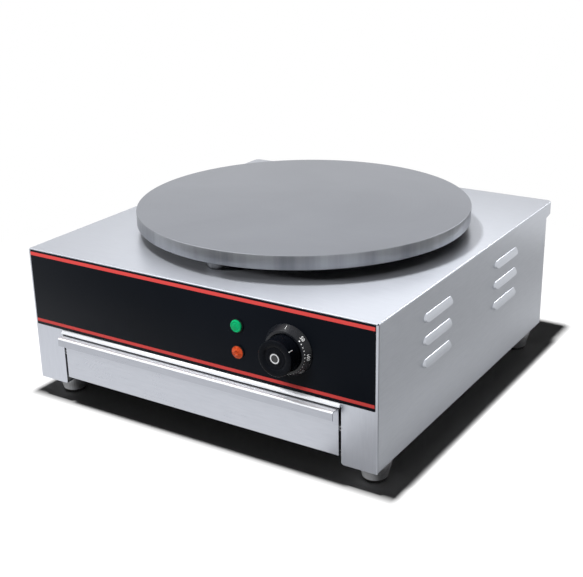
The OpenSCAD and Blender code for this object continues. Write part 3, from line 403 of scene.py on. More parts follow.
# %% [markdown]
# ## Metals
# Stainless sheet is brushed along its length, so its streaks run along X on the top and the front
# and along Y on the sides: the same grain group, fed with turned coordinates. It isn't a mirror:
# a part of it scatters the light, so the finish mixes metal with a dull share. The top, sides,
# front, drawer, flange and ledges are one steel, but each gets its own copy of it, lighter or
# darker in tone to match how the light falls on that face: painted light and shade. Turned parts
# have rings instead of streaks.

# %% Metal finishes
ALONG_X = (0, 0, 0)
ALONG_Y = (0, 0, math.pi / 2)
ALONG_Z = (0, -math.pi / 2, 0)


def sheet_metal(name, dark, light, rough, metallic, turn=ALONG_X, fineness=1100.0, depth=0.01):
    """Brushed sheet: streaks move its colour and roughness a little, smudges make it duller."""
    made, tree = new_material(name)
    vector = place_vector(tree, turn)
    streaks = effect(tree, GRAIN, vector, fineness)
    marks = effect(tree, SMUDGE, vector, 7.0)
    worn = calc(tree, "ADD", between(tree, streaks, -0.03, 0.03, 0.3, 0.7), between(tree, marks, *rough))
    return surface(made, {"Base Color": shade(tree, between(tree, streaks, 0, 1, 0.3, 0.7), dark, light),
                          "Roughness": worn, "Normal": bump(tree, streaks, 0.1, depth)}, metallic)


def turned_metal(name, dark, light, rough, metallic=0.8, fineness=1400.0):
    """Lathe-turned metal: fine rings around an axis, and a little cloudiness."""
    made, tree = new_material(name)
    vector = place_vector(tree)
    rings = effect(tree, TURNING, vector, fineness)
    both = calc(tree, "MULTIPLY", rings, effect(tree, MOTTLE, vector, 40.0))
    return surface(made, {"Base Color": shade(tree, between(tree, both, 0, 1, 0.12, 0.38), dark, light),
                          "Roughness": between(tree, rings, *rough, 0.3, 0.7),
                          "Normal": bump(tree, rings, 0.2, 0.02)}, metallic)


finish = {
    "steel_long": sheet_metal("stainless_along_x", (0.422, 0.441, 0.487), (0.470, 0.490, 0.537),
                              (0.32, 0.36), 0.80, depth=0.004),
    "steel_side": sheet_metal("stainless_along_y", (0.52, 0.545, 0.595), (0.58, 0.605, 0.655),
                              (0.32, 0.36), 0.92, ALONG_Y),
    "steel_upright": sheet_metal("stainless_upright", (0.455, 0.475, 0.525), (0.505, 0.525, 0.575),
                                 (0.30, 0.34), 0.94, ALONG_Z),
    "steel_drawer": sheet_metal("stainless_drawer", (0.430, 0.448, 0.495), (0.485, 0.503, 0.550),
                                (0.28, 0.32), 0.88),
    # painted shade: a darker copy of the drawer's steel for the handle's hanging flange
    "steel_flange_painted_shade": sheet_metal("stainless_flange", (0.355, 0.370, 0.412), (0.405, 0.420, 0.462),
                                (0.28, 0.32), 0.90),
    # painted light: a much lighter, less metallic copy of the steel for the drip edge and the handle's ledge
    "steel_painted_light": sheet_metal("stainless_satin", (0.76, 0.78, 0.82), (0.86, 0.88, 0.92), (0.30, 0.36), 0.60),
    "plain_sheet": sheet_metal("mill_finish_sheet", (0.46, 0.47, 0.48), (0.58, 0.59, 0.60), (0.42, 0.55), 0.7,
                               fineness=300.0, depth=0.03),
    "zinc": turned_metal("zinc_plate", (0.50, 0.51, 0.53), (0.66, 0.67, 0.69), (0.25, 0.40)),
    # nearly black, darker than cast iron: painted shade for the hotplate's underside
    "dark_iron": turned_metal("raw_iron", (0.022, 0.022, 0.023), (0.05, 0.05, 0.052), (0.6, 0.8), 0.3, 300.0),
    "brass": turned_metal("bare_brass", (0.55, 0.40, 0.16), (0.76, 0.60, 0.28), (0.25, 0.40)),
    "copper": turned_metal("dull_copper", (0.42, 0.20, 0.12), (0.62, 0.32, 0.20), (0.35, 0.50)),
    "sheath": turned_metal("tinted_sheath", (0.14, 0.13, 0.12), (0.28, 0.26, 0.25), (0.40, 0.55)),
    "foot_metal": turned_metal("polished_foot", (0.58, 0.59, 0.61), (0.82, 0.83, 0.85), (0.26, 0.38), 0.6, 700.0),
    # painted shade: the posts' turned steel is coloured dark, as they stand in the shadow under the plate
    "post_metal": turned_metal("turned_post", (0.20, 0.205, 0.215), (0.34, 0.345, 0.355), (0.34, 0.46), 0.9),
}
print("metals:", sorted(finish))

# %% [markdown]
# ## The hotplate's finish
# The plate is cast iron, turned flat on a lathe and finished on a grinding belt. Its face is a quiet
# grey with rings so fine that they only show as a soft cloudiness, while the rim has upright light
# and dark bands: partly marks of the grinding belt, partly a painted sheen and painted reflection in
# place of the light that a turned rim fans out. Both follow from the place on the plate: the rings
# from the radius, the bands from the angle around the middle.

# %% Hotplate finish
plate_low, plate_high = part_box("hotplate")
plate_middle = [(a + b) / 2 / mm for a, b in zip(plate_low, plate_high)]
plate_r = (plate_high.x - plate_low.x) / 2 / mm
plate_top = plate_high.z / mm
plate_bottom = plate_low.z / mm


def hotplate_finish():
    """Ground iron: rings and clouds on the face; on the rim, upright bands that are partly grinding marks and
    partly painted sheen.
    """
    made, tree = new_material("ground_iron")
    vector = place_vector(tree, centre=(plate_middle[0], plate_middle[1], plate_top))
    rings = effect(tree, TURNING, vector, 420.0)
    cloud = effect(tree, SMUDGE, vector, 6.0)
    speck = effect(tree, MOTTLE, vector, 420.0)
    x, y = add(tree, "SeparateXYZ", {0: vector}).outputs[:2]
    around = add(tree, "CombineXYZ", {0: calc(tree, "ARCTAN2", y, x)}, Y=2.9).outputs[0]
    bands = between(tree, noise(tree, around, 3.2, 7.0, 0.62), 0, 1, 0.35, 0.65)
    facing = add(tree, "SeparateXYZ", {0: add(tree, "NewGeometry").outputs["Normal"]}).outputs[2]
    rim = between(tree, facing, 1, 0, 0.2, 0.8)
    face = shade(tree, between(tree, rings, 0, 1, 0.3, 0.7), (0.305, 0.318, 0.352), (0.320, 0.333, 0.368))
    face = shade(tree, between(tree, cloud, 0, 0.5), face, (0.375, 0.390, 0.430))
    # painted sheen: the rim's light and dark bands by angle stand partly for reflections, partly for grinding
    # marks
    rim_grind_and_sheen = shade(tree, bands, (0.22, 0.23, 0.25), (0.47, 0.485, 0.51))
    rough = calc(tree, "ADD", between(tree, speck, 0.42, 0.50), between(tree, rim, 0, 0.02))
    return surface(made, {"Base Color": shade(tree, rim, face, rim_grind_and_sheen), "Roughness": rough,
                          "Normal": bump(tree, rings, 0.05, 0.02)}, 0.92)


finish["hotplate"] = hotplate_finish()
print("hotplate radius and top in mm:", round(plate_r, 2), round(plate_top, 2))

# %% [markdown]
# ## Plastics, rubber, ceramic and wire sleeves
# Moulded parts have a faint orange-peel bump and a slightly uneven gloss. One helper makes them
# all; the values say how dark, how glossy and how coarse each one is.

# %% Plastics and other dull finishes
def moulded(name, dark, light, rough, size=300.0, depth=0.02, specular=0.5):
    """A moulded surface, speckled at `size` and dimpled to a depth in millimetres."""
    made, tree = new_material(name)
    cloud = effect(tree, MOTTLE, place_vector(tree), size)
    return surface(made, {"Base Color": shade(tree, between(tree, cloud, 0, 1, 0.3, 0.7), dark, light),
                          "Roughness": between(tree, cloud, *rough, 0.3, 0.7),
                          "Normal": bump(tree, cloud, 0.2, depth)}, specular=specular)


def striped_sleeve():
    """Green and yellow in turn along the wire, which is how a bonding wire is told from the rest."""
    made, tree = new_material("green_yellow_sleeve")
    vector = place_vector(tree)
    wave = add(tree, "TexWave", {"Vector": vector}, wave_type="BANDS", bands_direction="DIAGONAL",
               Scale=40.0, Distortion=0.3).outputs[1]
    colour = shade(tree, between(tree, wave, 0, 1, 0.45, 0.55), (0.09, 0.30, 0.05), (0.72, 0.62, 0.05))
    rough = between(tree, effect(tree, MOTTLE, vector, 200.0), 0.4, 0.6)
    return surface(made, {"Base Color": colour, "Roughness": rough})


finish.update({
    "dark_plastic": moulded("dark_moulding", (0.012, 0.012, 0.014), (0.022, 0.022, 0.025), (0.45, 0.6)),
    "knob_plastic": moulded("knob_moulding", (0.0020, 0.0026, 0.0040), (0.0040, 0.0050, 0.0075),
                            (0.22, 0.30), specular=0.05),
    "dial_plastic": moulded("dial_moulding", (0.004, 0.005, 0.007), (0.009, 0.010, 0.013),
                            (0.24, 0.32), specular=0.3),
    "white_print": moulded("white_print", (0.90, 0.92, 0.92), (0.96, 0.97, 0.97), (0.45, 0.6)),
    "pointer_white": moulded("pointer_inlay", (0.78, 0.79, 0.80), (0.88, 0.88, 0.88), (0.4, 0.5)),
    "rubber": moulded("foot_rubber", (0.015, 0.015, 0.015), (0.03, 0.03, 0.03), (0.7, 0.85), depth=0.05),
    "ceramic": moulded("white_ceramic", (0.72, 0.70, 0.64), (0.84, 0.82, 0.77), (0.5, 0.7), size=160.0),
    "cream_plastic": moulded("cream_moulding", (0.62, 0.59, 0.50), (0.74, 0.71, 0.62), (0.4, 0.55)),
    "wool": moulded("mineral_wool", (0.46, 0.42, 0.31), (0.72, 0.68, 0.55), (0.85, 0.95), size=90.0, depth=0.4),
    "red_wire": moulded("red_sleeve", (0.34, 0.05, 0.04), (0.46, 0.09, 0.07), (0.45, 0.6), size=80.0),
    "blue_wire": moulded("blue_sleeve", (0.05, 0.08, 0.30), (0.09, 0.14, 0.42), (0.45, 0.6), size=80.0),
    "bond_wire": striped_sleeve(),
})
print("finishes so far:", len(finish))

# %% [markdown]
# ## Working by hand, in code
# Each new piece starts from a primitive at its real size and place. Edit mode then shapes it:
# select some faces or edges, and extrude, bevel, delete or move them. A mouse would click on them.
# Here `choose` picks them by where their corners lie, which reads almost like a drawing:
# `lies(z=25)` means all corners are on the height of 25 mm.

# %% Choosing and shaping
def only(piece):
    """Makes one piece the selected and the active one."""
    drop_selection()
    piece.select_set(True)
    bpy.context.view_layer.objects.active = piece


def settle(piece):
    """Applies place, turn and scale, so that the piece's object sits at the origin."""
    only(piece)
    bpy.ops.object.transform_apply(location=True, rotation=True, scale=True)


def block(name, low, high):
    """A cube primitive between two corners given in millimetres."""
    drop_selection()
    size = [(b - a) * mm for a, b in zip(low, high)]
    middle = [(a + b) / 2 * mm for a, b in zip(low, high)]
    bpy.ops.mesh.primitive_cube_add(size=1, location=middle, scale=size)
    piece = fresh(name)
    settle(piece)
    return piece


def lies(**where):
    """A test: do all corners lie at x, y, z, or between two values, in millimetres?"""
    def test(item):
        points = [item] if isinstance(item, bmesh.types.BMVert) else item.verts
        for axis, wanted in where.items():
            low, high = wanted if isinstance(wanted, tuple) else (wanted, wanted)
            places = [point.co["xyz".index(axis)] / mm for point in points]
            if min(places) < low - 0.05 or max(places) > high + 0.05:
                return False
        return True
    return test


def choose(piece, *tests, kind="FACE"):
    """Enters edit mode and selects the faces, edges or vertices that pass any of the tests."""
    only(piece)
    bpy.ops.object.mode_set(mode="EDIT")
    bpy.context.tool_settings.mesh_select_mode = [kind == k for k in ("VERT", "EDGE", "FACE")]
    bpy.ops.mesh.select_all(action="DESELECT")
    shape = bmesh.from_edit_mesh(piece.data)
    items = {"VERT": shape.verts, "EDGE": shape.edges, "FACE": shape.faces}[kind]
    chosen = [item for item in items if any(test(item) for test in tests)]
    for item in chosen:
        item.select_set(True)
    shape.select_flush_mode()
    bmesh.update_edit_mesh(piece.data)
    return len(chosen)


def pull(x=0, y=0, z=0):
    """Extrudes what is selected and moves the new part, in millimetres."""
    bpy.ops.mesh.extrude_region_move(TRANSFORM_OT_translate={"value": (x * mm, y * mm, z * mm)})


def move(y=0, z=0):
    """Moves what is selected, in millimetres."""
    bpy.ops.transform.translate(value=(0, y * mm, z * mm))


def squeeze(x=1, y=1):
    """Scales what is selected about the Z axis; -1 mirrors it."""
    bpy.ops.transform.resize(value=(x, y, 1), center_override=(0, 0, 0))


def take_away(piece, *tests):
    """Deletes the faces that pass any of the tests."""
    choose(piece, *tests)
    bpy.ops.mesh.delete(type="FACE")


def round_off(piece, radius, segments, *tests):
    """Bevels the edges that pass any of the tests; the radius is in millimetres."""
    choose(piece, *tests, kind="EDGE")
    bpy.ops.mesh.bevel(offset=radius * mm, segments=segments, affect="EDGES", profile=0.5)


# %% [markdown]
# Modifiers finish a piece: Solidify gives a sheet its thickness, Boolean punches holes, and a small
# Bevel breaks every edge that is left. Each is applied at once, so that the mesh is what it looks.

# %% Finishing and handing over
def finish_with(piece, kind, **settings):
    """Adds a modifier, sets it and applies it at once."""
    only(piece)
    modifier = piece.modifiers.new(kind, kind)
    for name, value in settings.items():
        setattr(modifier, name, value)
    bpy.ops.object.modifier_apply(modifier=modifier.name)


def give_thickness(piece, thickness):
    """Solidify, inwards from the drawn side; the thickness is in millimetres."""
    finish_with(piece, "SOLIDIFY", thickness=thickness * mm, offset=-1, use_even_offset=True)


def cut(piece, cutter):
    """Takes the cutter's volume out of the piece, then deletes the cutter."""
    finish_with(piece, "BOOLEAN", operation="DIFFERENCE", solver="EXACT", object=cutter)
    bpy.data.objects.remove(cutter)


def shade_by_angle(piece, angle):
    """Smooth shading wherever two faces meet at less than an angle in degrees."""
    only(piece)
    bpy.ops.object.shade_smooth_by_angle(angle=math.radians(angle))


def soften_edges(piece, radius, angle=35):
    """Breaks the sharp edges that are left, as deburring does, and shades the rest smooth."""
    finish_with(piece, "BEVEL", width=radius * mm, segments=2, limit_method="ANGLE",
                angle_limit=math.radians(angle), harden_normals=False)
    shade_by_angle(piece, angle)


def flatten_shading(piece):
    """Lets the big flat faces decide the shading at their corners, so that they look flat."""
    finish_with(piece, "WEIGHTED_NORMAL", keep_sharp=True, weight=100)


def show(piece, body, material, slot, *stands_for):
    """Gives a piece its body and finish, and hides the CAD nodes it stands for; `slot` is not used."""
    only(piece)
    piece.data.materials.clear()
    piece.data.materials.append(finish[material] if isinstance(material, str) else material)
    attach(piece, body)
    if stands_for:
        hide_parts(*stands_for)
    print(piece.name, "has", len(piece.data.polygons), "faces")


def give_faces(piece, material, test):
    """A second finish for the faces that pass a test."""
    piece.data.materials.append(finish[material])
    piece.active_material_index = len(piece.data.materials) - 1
    choose(piece, test)
    bpy.ops.object.material_slot_assign()
    drop_selection()


def copy_of(piece, name):
    """A copy with a mesh of its own."""
    made = piece.copy()
    made.data = piece.data.copy()
    made.name = made.data.name = name
    bpy.context.scene.collection.objects.link(made)
    return made


def join(name, *pieces):
    """Makes one piece of several, under a new name."""
    only(pieces[0])
    for piece in pieces:
        piece.select_set(True)
    bpy.ops.object.join()
    pieces[0].name = pieces[0].data.name = name
    return pieces[0]


# %% [markdown]
# ## Measures
# The places of the sheet-metal box come from the CAD nodes, so the new pieces fit without any
# guessing. Only the sheet's thickness, its bend radius and the seam are written down.

# %% Main measures of the sheet-metal box
def reach(node):
    """Lowest and highest corner of a CAD node in millimetres."""
    low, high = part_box(node)
    return low / mm, high / mm


shell_low, shell_high = reach("outer_shell")
panel_low, panel_high = reach("front_panel")
overlay_low, overlay_high = reach("control_overlay")
drawer_low, drawer_high = reach("drawer_front")
side = panel_high.x                 # outside of the box, right of its middle
bottom, top = shell_low.z, shell_high.z
front = overlay_high.y              # face of the front panel
back, lip_back = reach("rear_panel")[1].y, shell_high.y
sheet = 1.2
bend = 1.6
seam_y = front + sheet + 0.4        # where the side sheets begin, behind the front panel
print("box in mm: side", round(side, 2), "front", round(front, 2), "back", round(back, 2), "top", round(top, 2))

# %% [markdown]
# ## The wrapper: top and sides from one folded sheet
# One sheet of stainless steel goes up one side, over the top and down the other side. A press
# brake folds it, so its long edges are rounded bends, never sharp corners. It starts as a cube
# whose open faces are deleted. The feet's flanges are pulled inwards, the folds are bevelled, and
# Solidify gives the sheet its thickness. Then a cutter leaves the lip that overhangs at the back,
# and another opens the top under the hotplate.

# %% Wrapper
foot_flange, back_corner, foot_bend = 40, 8, 1.8
wrapper = block("wrapper_sheet", (-side, seam_y, bottom), (side, lip_back, top))
take_away(wrapper, lies(y=seam_y), lies(z=bottom))
for hand in (-1, 1):
    choose(wrapper, lies(x=hand * side, z=bottom), kind="EDGE")
    pull(x=-hand * foot_flange)
round_off(wrapper, back_corner, 8, lies(x=-side, y=lip_back), lies(x=side, y=lip_back))
round_off(wrapper, bend, 5, lambda edge: lies(z=top)(edge) and not lies(y=seam_y)(edge))
round_off(wrapper, foot_bend, 3, lies(x=-side, z=bottom), lies(x=side, z=bottom))
choose(wrapper, lies(y=seam_y, z=top, x=(-side + bend, side - bend)), kind="EDGE")
pull(y=front - seam_y)
give_thickness(wrapper, sheet)
round_off(wrapper, 1.1, 4, lies(y=front, z=top))

lip_reach, lip_h, lip_corner = 17, 15, 3
past = 10                           # how far a cutter stands past what it cuts
lip = block("lip_cutter", (-side - past, back, bottom - past),
            (side + past, back + lip_reach, top - lip_h - lip_corner))
choose(lip, lies(y=back + lip_reach, z=top - lip_h - lip_corner), kind="EDGE")
move(z=lip_corner)
choose(lip, lies(y=back + lip_reach))
pull(y=lip_corner)
choose(lip, lies(y=back + lip_reach + lip_corner, z=top - lip_h), kind="EDGE")
move(z=lip_corner)
choose(lip, lies(y=back + lip_reach + lip_corner))
pull(y=2 * past)
cut(wrapper, lip)

opening_r = 150
drop_selection()
bpy.ops.mesh.primitive_cylinder_add(vertices=128, radius=opening_r * mm, depth=2 * past * mm,
                                    location=(0, plate_middle[1] * mm, top * mm))
cut(wrapper, bpy.context.object)
print(wrapper.name, "has", len(wrapper.data.polygons), "faces before the louvres")

# %% [markdown]
# ## Louvres
# A press cuts a slit in the side and pushes the metal above it outwards, so each louvre is a small
# hood that sheds steam and keeps drips out. One hood is made from a cube: its outer face is turned
# until it leans back into the sheet, its outline is rounded, the open faces are deleted and a thin
# wall is left. Twelve copies follow, each with its own mesh.

# %% Louvre openings and hoods
louvre_l, louvre_h, louvre_out, louvre_wall = 68.0, 8.8, 3.6, 0.9
louvre_lean = 19                    # degrees
group_y, first_row, row_step = 92.5, 34.3, 25.7
box_middle = (front + back) / 2
louvre_places = [(box_middle + group * group_y - 1, top - first_row - row * row_step)
                 for group in (-1, 1) for row in range(3)]

slots = [block("slot", (hand * side - 2, y - louvre_l / 2 + 2, z),
               (hand * side + 2, y + louvre_l / 2 - 2, z + louvre_h - 3.5))
         for hand in (-1, 1) for y, z in louvre_places]
cut(wrapper, join("slot_cutter", *slots))
soften_edges(wrapper, 0.2)
flatten_shading(wrapper)
show(wrapper, "housing", "steel_long", "stainless_sheet", "outer_shell")

hood = block("louvre", (side - 0.2, -louvre_l / 2, 0), (side + louvre_out, louvre_l / 2, louvre_h))
round_off(hood, 5.0, 5, lies(y=-louvre_l / 2, z=louvre_h), lies(y=louvre_l / 2, z=louvre_h))
round_off(hood, 3.0, 4, lies(y=-louvre_l / 2, z=0), lies(y=louvre_l / 2, z=0))
choose(hood, lies(x=side + louvre_out))
bpy.ops.transform.rotate(value=math.radians(louvre_lean), orient_axis="Y",
                         center_override=((side + louvre_out) * mm, 0, 0))
drop_selection()
lean = max(v.co.x for v in hood.data.vertices if v.co.z > 0.9 * louvre_h * mm) / mm - side
print("louvre's upper edge stands out by", round(lean, 2), "mm")
outer = lies(x=(side + 0.3, side + 6))
choose(hood, outer, kind="VERT")
squeeze(y=0.94)
take_away(hood, lies(x=side - 0.2), lies(z=(0, 0.1)))
round_off(hood, 0.5, 3, lambda edge: outer(edge) and len(edge.link_faces) == 2)
finish_with(hood, "SOLIDIFY", thickness=louvre_wall * mm, offset=-1)
shade_by_angle(hood, 50)

for hand, label in ((1, "right"), (-1, "left")):
    for number, (y, z) in enumerate(louvre_places, 1):
        made = copy_of(hood, f"louvre_{label}_{number}")
        choose(made, lambda vertex: True, kind="VERT")
        move(y=y, z=z)
        if hand < 0:
            squeeze(x=-1)
            bpy.ops.mesh.flip_normals()
        show(made, "housing", "steel_side", "stainless_sheet")
bpy.data.objects.remove(hood)
# the sides get their own copy of the steel, grained along Y, with a tone that differs from the top's copy to
# match how the light falls: painted light and shade
give_faces(wrapper, "steel_side", lambda spot: abs(spot.normal.x) > 0.3)

# %% [markdown]
# ## The front: a folded band with two legs
# The front panel is one sheet with a wide notch for the drawer. A Boolean takes the notch out, as
# a punch would, and the corners at the feet of the legs are rounded so that they don't cut fingers.
# A narrow drip edge along the top of the notch keeps batter off the drawer.

# %% Front panel and drip edge
notch_x, notch_z = 186.7, 90.0
front_sheet = block("front_sheet", (-side, front, bottom), (side, front + sheet, panel_high.z))
cut(front_sheet, block("notch_cutter", (-notch_x, front - past / 2, bottom - past / 2),
                       (notch_x, front + past / 2, notch_z)))
round_off(front_sheet, 3, 5, lies(x=-notch_x, z=bottom), lies(x=notch_x, z=bottom))
round_off(front_sheet, 1.0, 4, lies(x=-side, y=front), lies(x=side, y=front))
soften_edges(front_sheet, 0.2)
flatten_shading(front_sheet)
show(front_sheet, "housing", "steel_upright", "stainless_sheet", "front_panel")

drip_h, drip_nose = 4.5, 1.6
drip = block("drip_edge", (-notch_x + 0.5, panel_low.y, notch_z), (notch_x - 0.5, front, notch_z + drip_h))
choose(drip, lies(y=panel_low.y, z=notch_z + drip_h), kind="EDGE")
move(z=drip_nose - drip_h)
take_away(drip, lies(y=front), lies(z=notch_z))
round_off(drip, 1.2, 4, lies(y=panel_low.y, z=notch_z + drip_nose))
finish_with(drip, "SOLIDIFY", thickness=0.9 * mm, offset=-1)
soften_edges(drip, 0.15)
# painted light: the drip edge gets the much lighter copy of the steel
show(drip, "housing", "steel_painted_light", "stainless_sheet")

# %% [markdown]
# ## The control overlay
# A printed film is glued over the upper part of the front. It is black with one red line near its
# upper and one near its lower edge. The lines are print, so they belong in the material: the height
# on the piece decides where red begins and ends. Nothing else is printed on it here.

# %% Overlay
film_x, film_low, film_high = overlay_high.x, overlay_low.z, overlay_high.z


def inside(tree, value, low, high, soft=0.15):
    """1 between two places in millimetres, 0 outside, with a narrow soft edge."""
    rise = between(tree, value, 0, 1, (low - soft) * mm, (low + soft) * mm)
    fall = between(tree, value, 1, 0, (high - soft) * mm, (high + soft) * mm)
    return calc(tree, "MULTIPLY", rise, fall)


def overlay_finish():
    """Black film with two red lines, a little wiped."""
    made, tree = new_material("overlay_film")
    vector = place_vector(tree)
    place = add(tree, "SeparateXYZ", {0: vector}).outputs
    upper = inside(tree, place["Z"], film_high - 6.1, film_high - 2.0)
    lower = inside(tree, place["Z"], film_low + 3.6, film_low + 7.4)
    across = inside(tree, place["X"], -film_x + 0.3, film_x - 0.3)
    printed = calc(tree, "MULTIPLY", calc(tree, "ADD", upper, lower), across)
    cloud = effect(tree, MOTTLE, vector, 500.0)
    wipe = effect(tree, SMUDGE, vector, 5.0)
    black = shade(tree, wipe, (0.0018, 0.0028, 0.0048), (0.0032, 0.0045, 0.0074))
    red = shade(tree, between(tree, cloud, 0, 1, 0.3, 0.7), (0.60, 0.062, 0.058), (0.67, 0.074, 0.068))
    rough = calc(tree, "ADD", between(tree, wipe, 0.30, 0.40), between(tree, cloud, -0.03, 0.03))
    return surface(made, {"Base Color": shade(tree, printed, black, red), "Roughness": rough,
                          "Normal": bump(tree, cloud, 0.1, 0.01)}, specular=0.05)


film = block("control_film", overlay_low, overlay_high)
soften_edges(film, 0.2)
show(film, "housing", overlay_finish(), "overlay_film", "control_overlay")

# %% [markdown]
# ## The crumb drawer
# Its front is one strip of sheet folded three times: the face, the handle lip that comes forwards,
# and the lip's hanging flange. It starts as a cube that keeps two faces. Edges are pulled out one
# after another as the press brake would fold them, the folds are rounded, and Solidify adds the
# thickness on the hidden side. The flange gets a darker copy of the steel, which is painted shade,
# and the ledge on top a much lighter copy, which is painted light.

# %% Drawer front
drawer_x, drawer_top, drawer_bottom = drawer_high.x, drawer_high.z, drawer_low.z
handle_y, handle_h = drawer_low.y, 10
fold_z = drawer_top - sheet
face = block("drawer_face", (-drawer_x, front, drawer_bottom), (drawer_x, front + 8, fold_z))
take_away(face, lies(y=front + 8), lies(z=fold_z), lies(x=-drawer_x), lies(x=drawer_x))
choose(face, lies(y=front, z=fold_z), kind="EDGE")
pull(y=-4)
pull(y=handle_y + sheet - front + 4)
pull(z=-(handle_h - sheet))
round_off(face, 1.5, 5, lies(y=front, z=drawer_bottom), lies(y=front, z=fold_z),
          lies(y=handle_y + sheet, z=fold_z))
give_thickness(face, sheet)
soften_edges(face, 0.2)
flatten_shading(face)
show(face, "drawer", "steel_drawer", "stainless_sheet", "drawer_front")


def on_flange(spot):
    """The upright faces of the handle's hanging flange."""
    return spot.calc_center_median().y < (handle_y + 2) * mm and abs(spot.normal.z) < 0.3


def on_ledge(spot):
    """The level faces on top of the handle."""
    centre = spot.calc_center_median()
    return spot.normal.z > 0.3 and centre.z > (drawer_top - 2) * mm and centre.y < (front - 4) * mm


# painted shade: the flange's faces get the darker copy of the steel
give_faces(face, "steel_flange_painted_shade", on_flange)
# painted light: the front of the handle's ledge gets the much lighter copy of the steel
give_faces(face, "steel_painted_light", on_ledge)

# %% [markdown]
# Behind the face hangs the tray: a shallow pan whose long rims slide in the runners. The cube loses
# its lid, the rims are pulled outwards, the front wall goes up behind the face, and the edges at
# the bottom are rounded as in any pressed pan.

# %% Crumb tray
tray_low, tray_high = reach("drawer_tray")
tray_x, tray_t, runner_z = 171.7, 1.0, 65.5
tray_rim = runner_z - tray_t
tray = block("crumb_tray", (-tray_x, tray_low.y, tray_low.z), (tray_x, tray_high.y, tray_rim))
take_away(tray, lies(z=tray_rim))
for hand in (-1, 1):
    choose(tray, lies(x=hand * tray_x, z=tray_rim), kind="EDGE")
    pull(x=hand * (tray_high.x - tray_x))
choose(tray, lies(y=tray_low.y, z=tray_rim, x=(-tray_x, tray_x)), kind="EDGE")
pull(z=tray_high.z - tray_rim)
round_off(tray, 3, 4, lies(z=tray_low.z))
give_thickness(tray, tray_t)
soften_edges(tray, 0.15)
show(tray, "drawer", "steel_side", "stainless_sheet", "drawer_tray")

# %% [markdown]
# ## The hotplate
# The plate is a thick disc with both edges broken by a small round, which catches a thin bright
# line. Its hidden underside keeps the cast shape and is coloured nearly black, darker than cast
# iron is: painted shade, so that the sheet below mirrors a dark gap.

# %% Hotplate
drop_selection()
bpy.ops.mesh.primitive_cylinder_add(
    vertices=256, radius=plate_r * mm, depth=(plate_top - plate_bottom) * mm,
    location=(plate_middle[0] * mm, plate_middle[1] * mm, (plate_top + plate_bottom) / 2 * mm))
griddle = fresh("griddle_plate")
settle(griddle)
round_off(griddle, 0.9, 3, lies(z=plate_top), lies(z=plate_bottom))
choose(griddle, lies(z=plate_bottom))
cast_rim, cast_slope, cast_step = 38, 2, 1.5
bpy.ops.mesh.inset(thickness=cast_rim * mm, depth=0)
bpy.ops.mesh.inset(thickness=cast_slope * mm, depth=-cast_step * mm)
shade_by_angle(griddle, 40)
show(griddle, "housing", "hotplate", "hotplate_iron", "hotplate")
# painted shade: the underside is coloured nearly black, so the sheet beneath mirrors darkness
give_faces(griddle, "dark_iron", lambda spot: spot.normal.z < -0.5)

# %% [markdown]
# ## Turned parts and the plate's posts
# Posts, feet, dial, knob, lenses and screws come from a lathe or a round mould. A lathe is a
# profile that goes round an axis, which is Blender's Spin: one point is extruded along the outline
# and the line is spun. Three short posts hold the plate above the box, so that the sheet stays
# cooler.

# %% Turned parts
def turned(name, outline, steps=64):
    """Spins an outline of (radius, height) points about the Z axis; ends on the axis are closed."""
    drop_selection()
    radius, height = outline[0]
    bpy.ops.mesh.primitive_plane_add(size=mm, location=(radius * mm, 0, height * mm))
    piece = fresh(name)
    settle(piece)
    choose(piece, lambda vertex: True, kind="VERT")
    bpy.ops.mesh.merge(type="CENTER")
    for (r0, h0), (r1, h1) in zip(outline, outline[1:]):
        bpy.ops.mesh.extrude_vertices_move(
            TRANSFORM_OT_translate={"value": ((r1 - r0) * mm, 0, (h1 - h0) * mm)})
    bpy.ops.mesh.select_all(action="SELECT")
    bpy.ops.mesh.spin(steps=steps, angle=math.tau, center=(0, 0, 0), axis=(0, 0, 1))
    bpy.ops.mesh.select_all(action="SELECT")
    bpy.ops.mesh.remove_doubles(threshold=0.00001)
    bpy.ops.mesh.normals_make_consistent(inside=False)
    shade_by_angle(piece, 40)
    return piece


def stand(piece, x, y, z, tilt=0.0):
    """Turns a piece about X, then puts it at x, y, z in millimetres and applies both."""
    piece.rotation_euler = (tilt, 0, 0)
    piece.location = (x * mm, y * mm, z * mm)
    settle(piece)
    return piece


def stand_copies(places, *rows, tilt=0.0):
    """Puts a numbered copy of each row's piece at each place and drops the piece itself."""
    for number, place in enumerate(places, 1):
        for piece, *looks in rows:
            show(stand(copy_of(piece, f"{piece.name}_{number}"), *place, tilt), *looks)
    for piece, *looks in rows:
        bpy.data.objects.remove(piece)


TO_FRONT, TO_BACK = math.pi / 2, -math.pi / 2

gap_z, post_ring = plate_bottom - top, 179
post = turned("plate_post", [(0, 0), (9.4, 0), (10, 0.6), (11.6, 2.6), (12, 3.4), (12, gap_z), (0, gap_z)], 48)
angles = [math.radians(angle) for angle in (-90, 30, 150)]
# painted shade: the posts get the dark finish, as they stand in the plate's shadow
stand_copies([(post_ring * math.cos(a), plate_middle[1] + post_ring * math.sin(a), top) for a in angles],
             (post, "housing", "post_metal", "post_steel", "plate_posts"))

# %% [markdown]
# ## Feet
# Four polished cups that taper downwards, each on a rubber pad. One outline is spun into a foot and
# copied to the four corners.

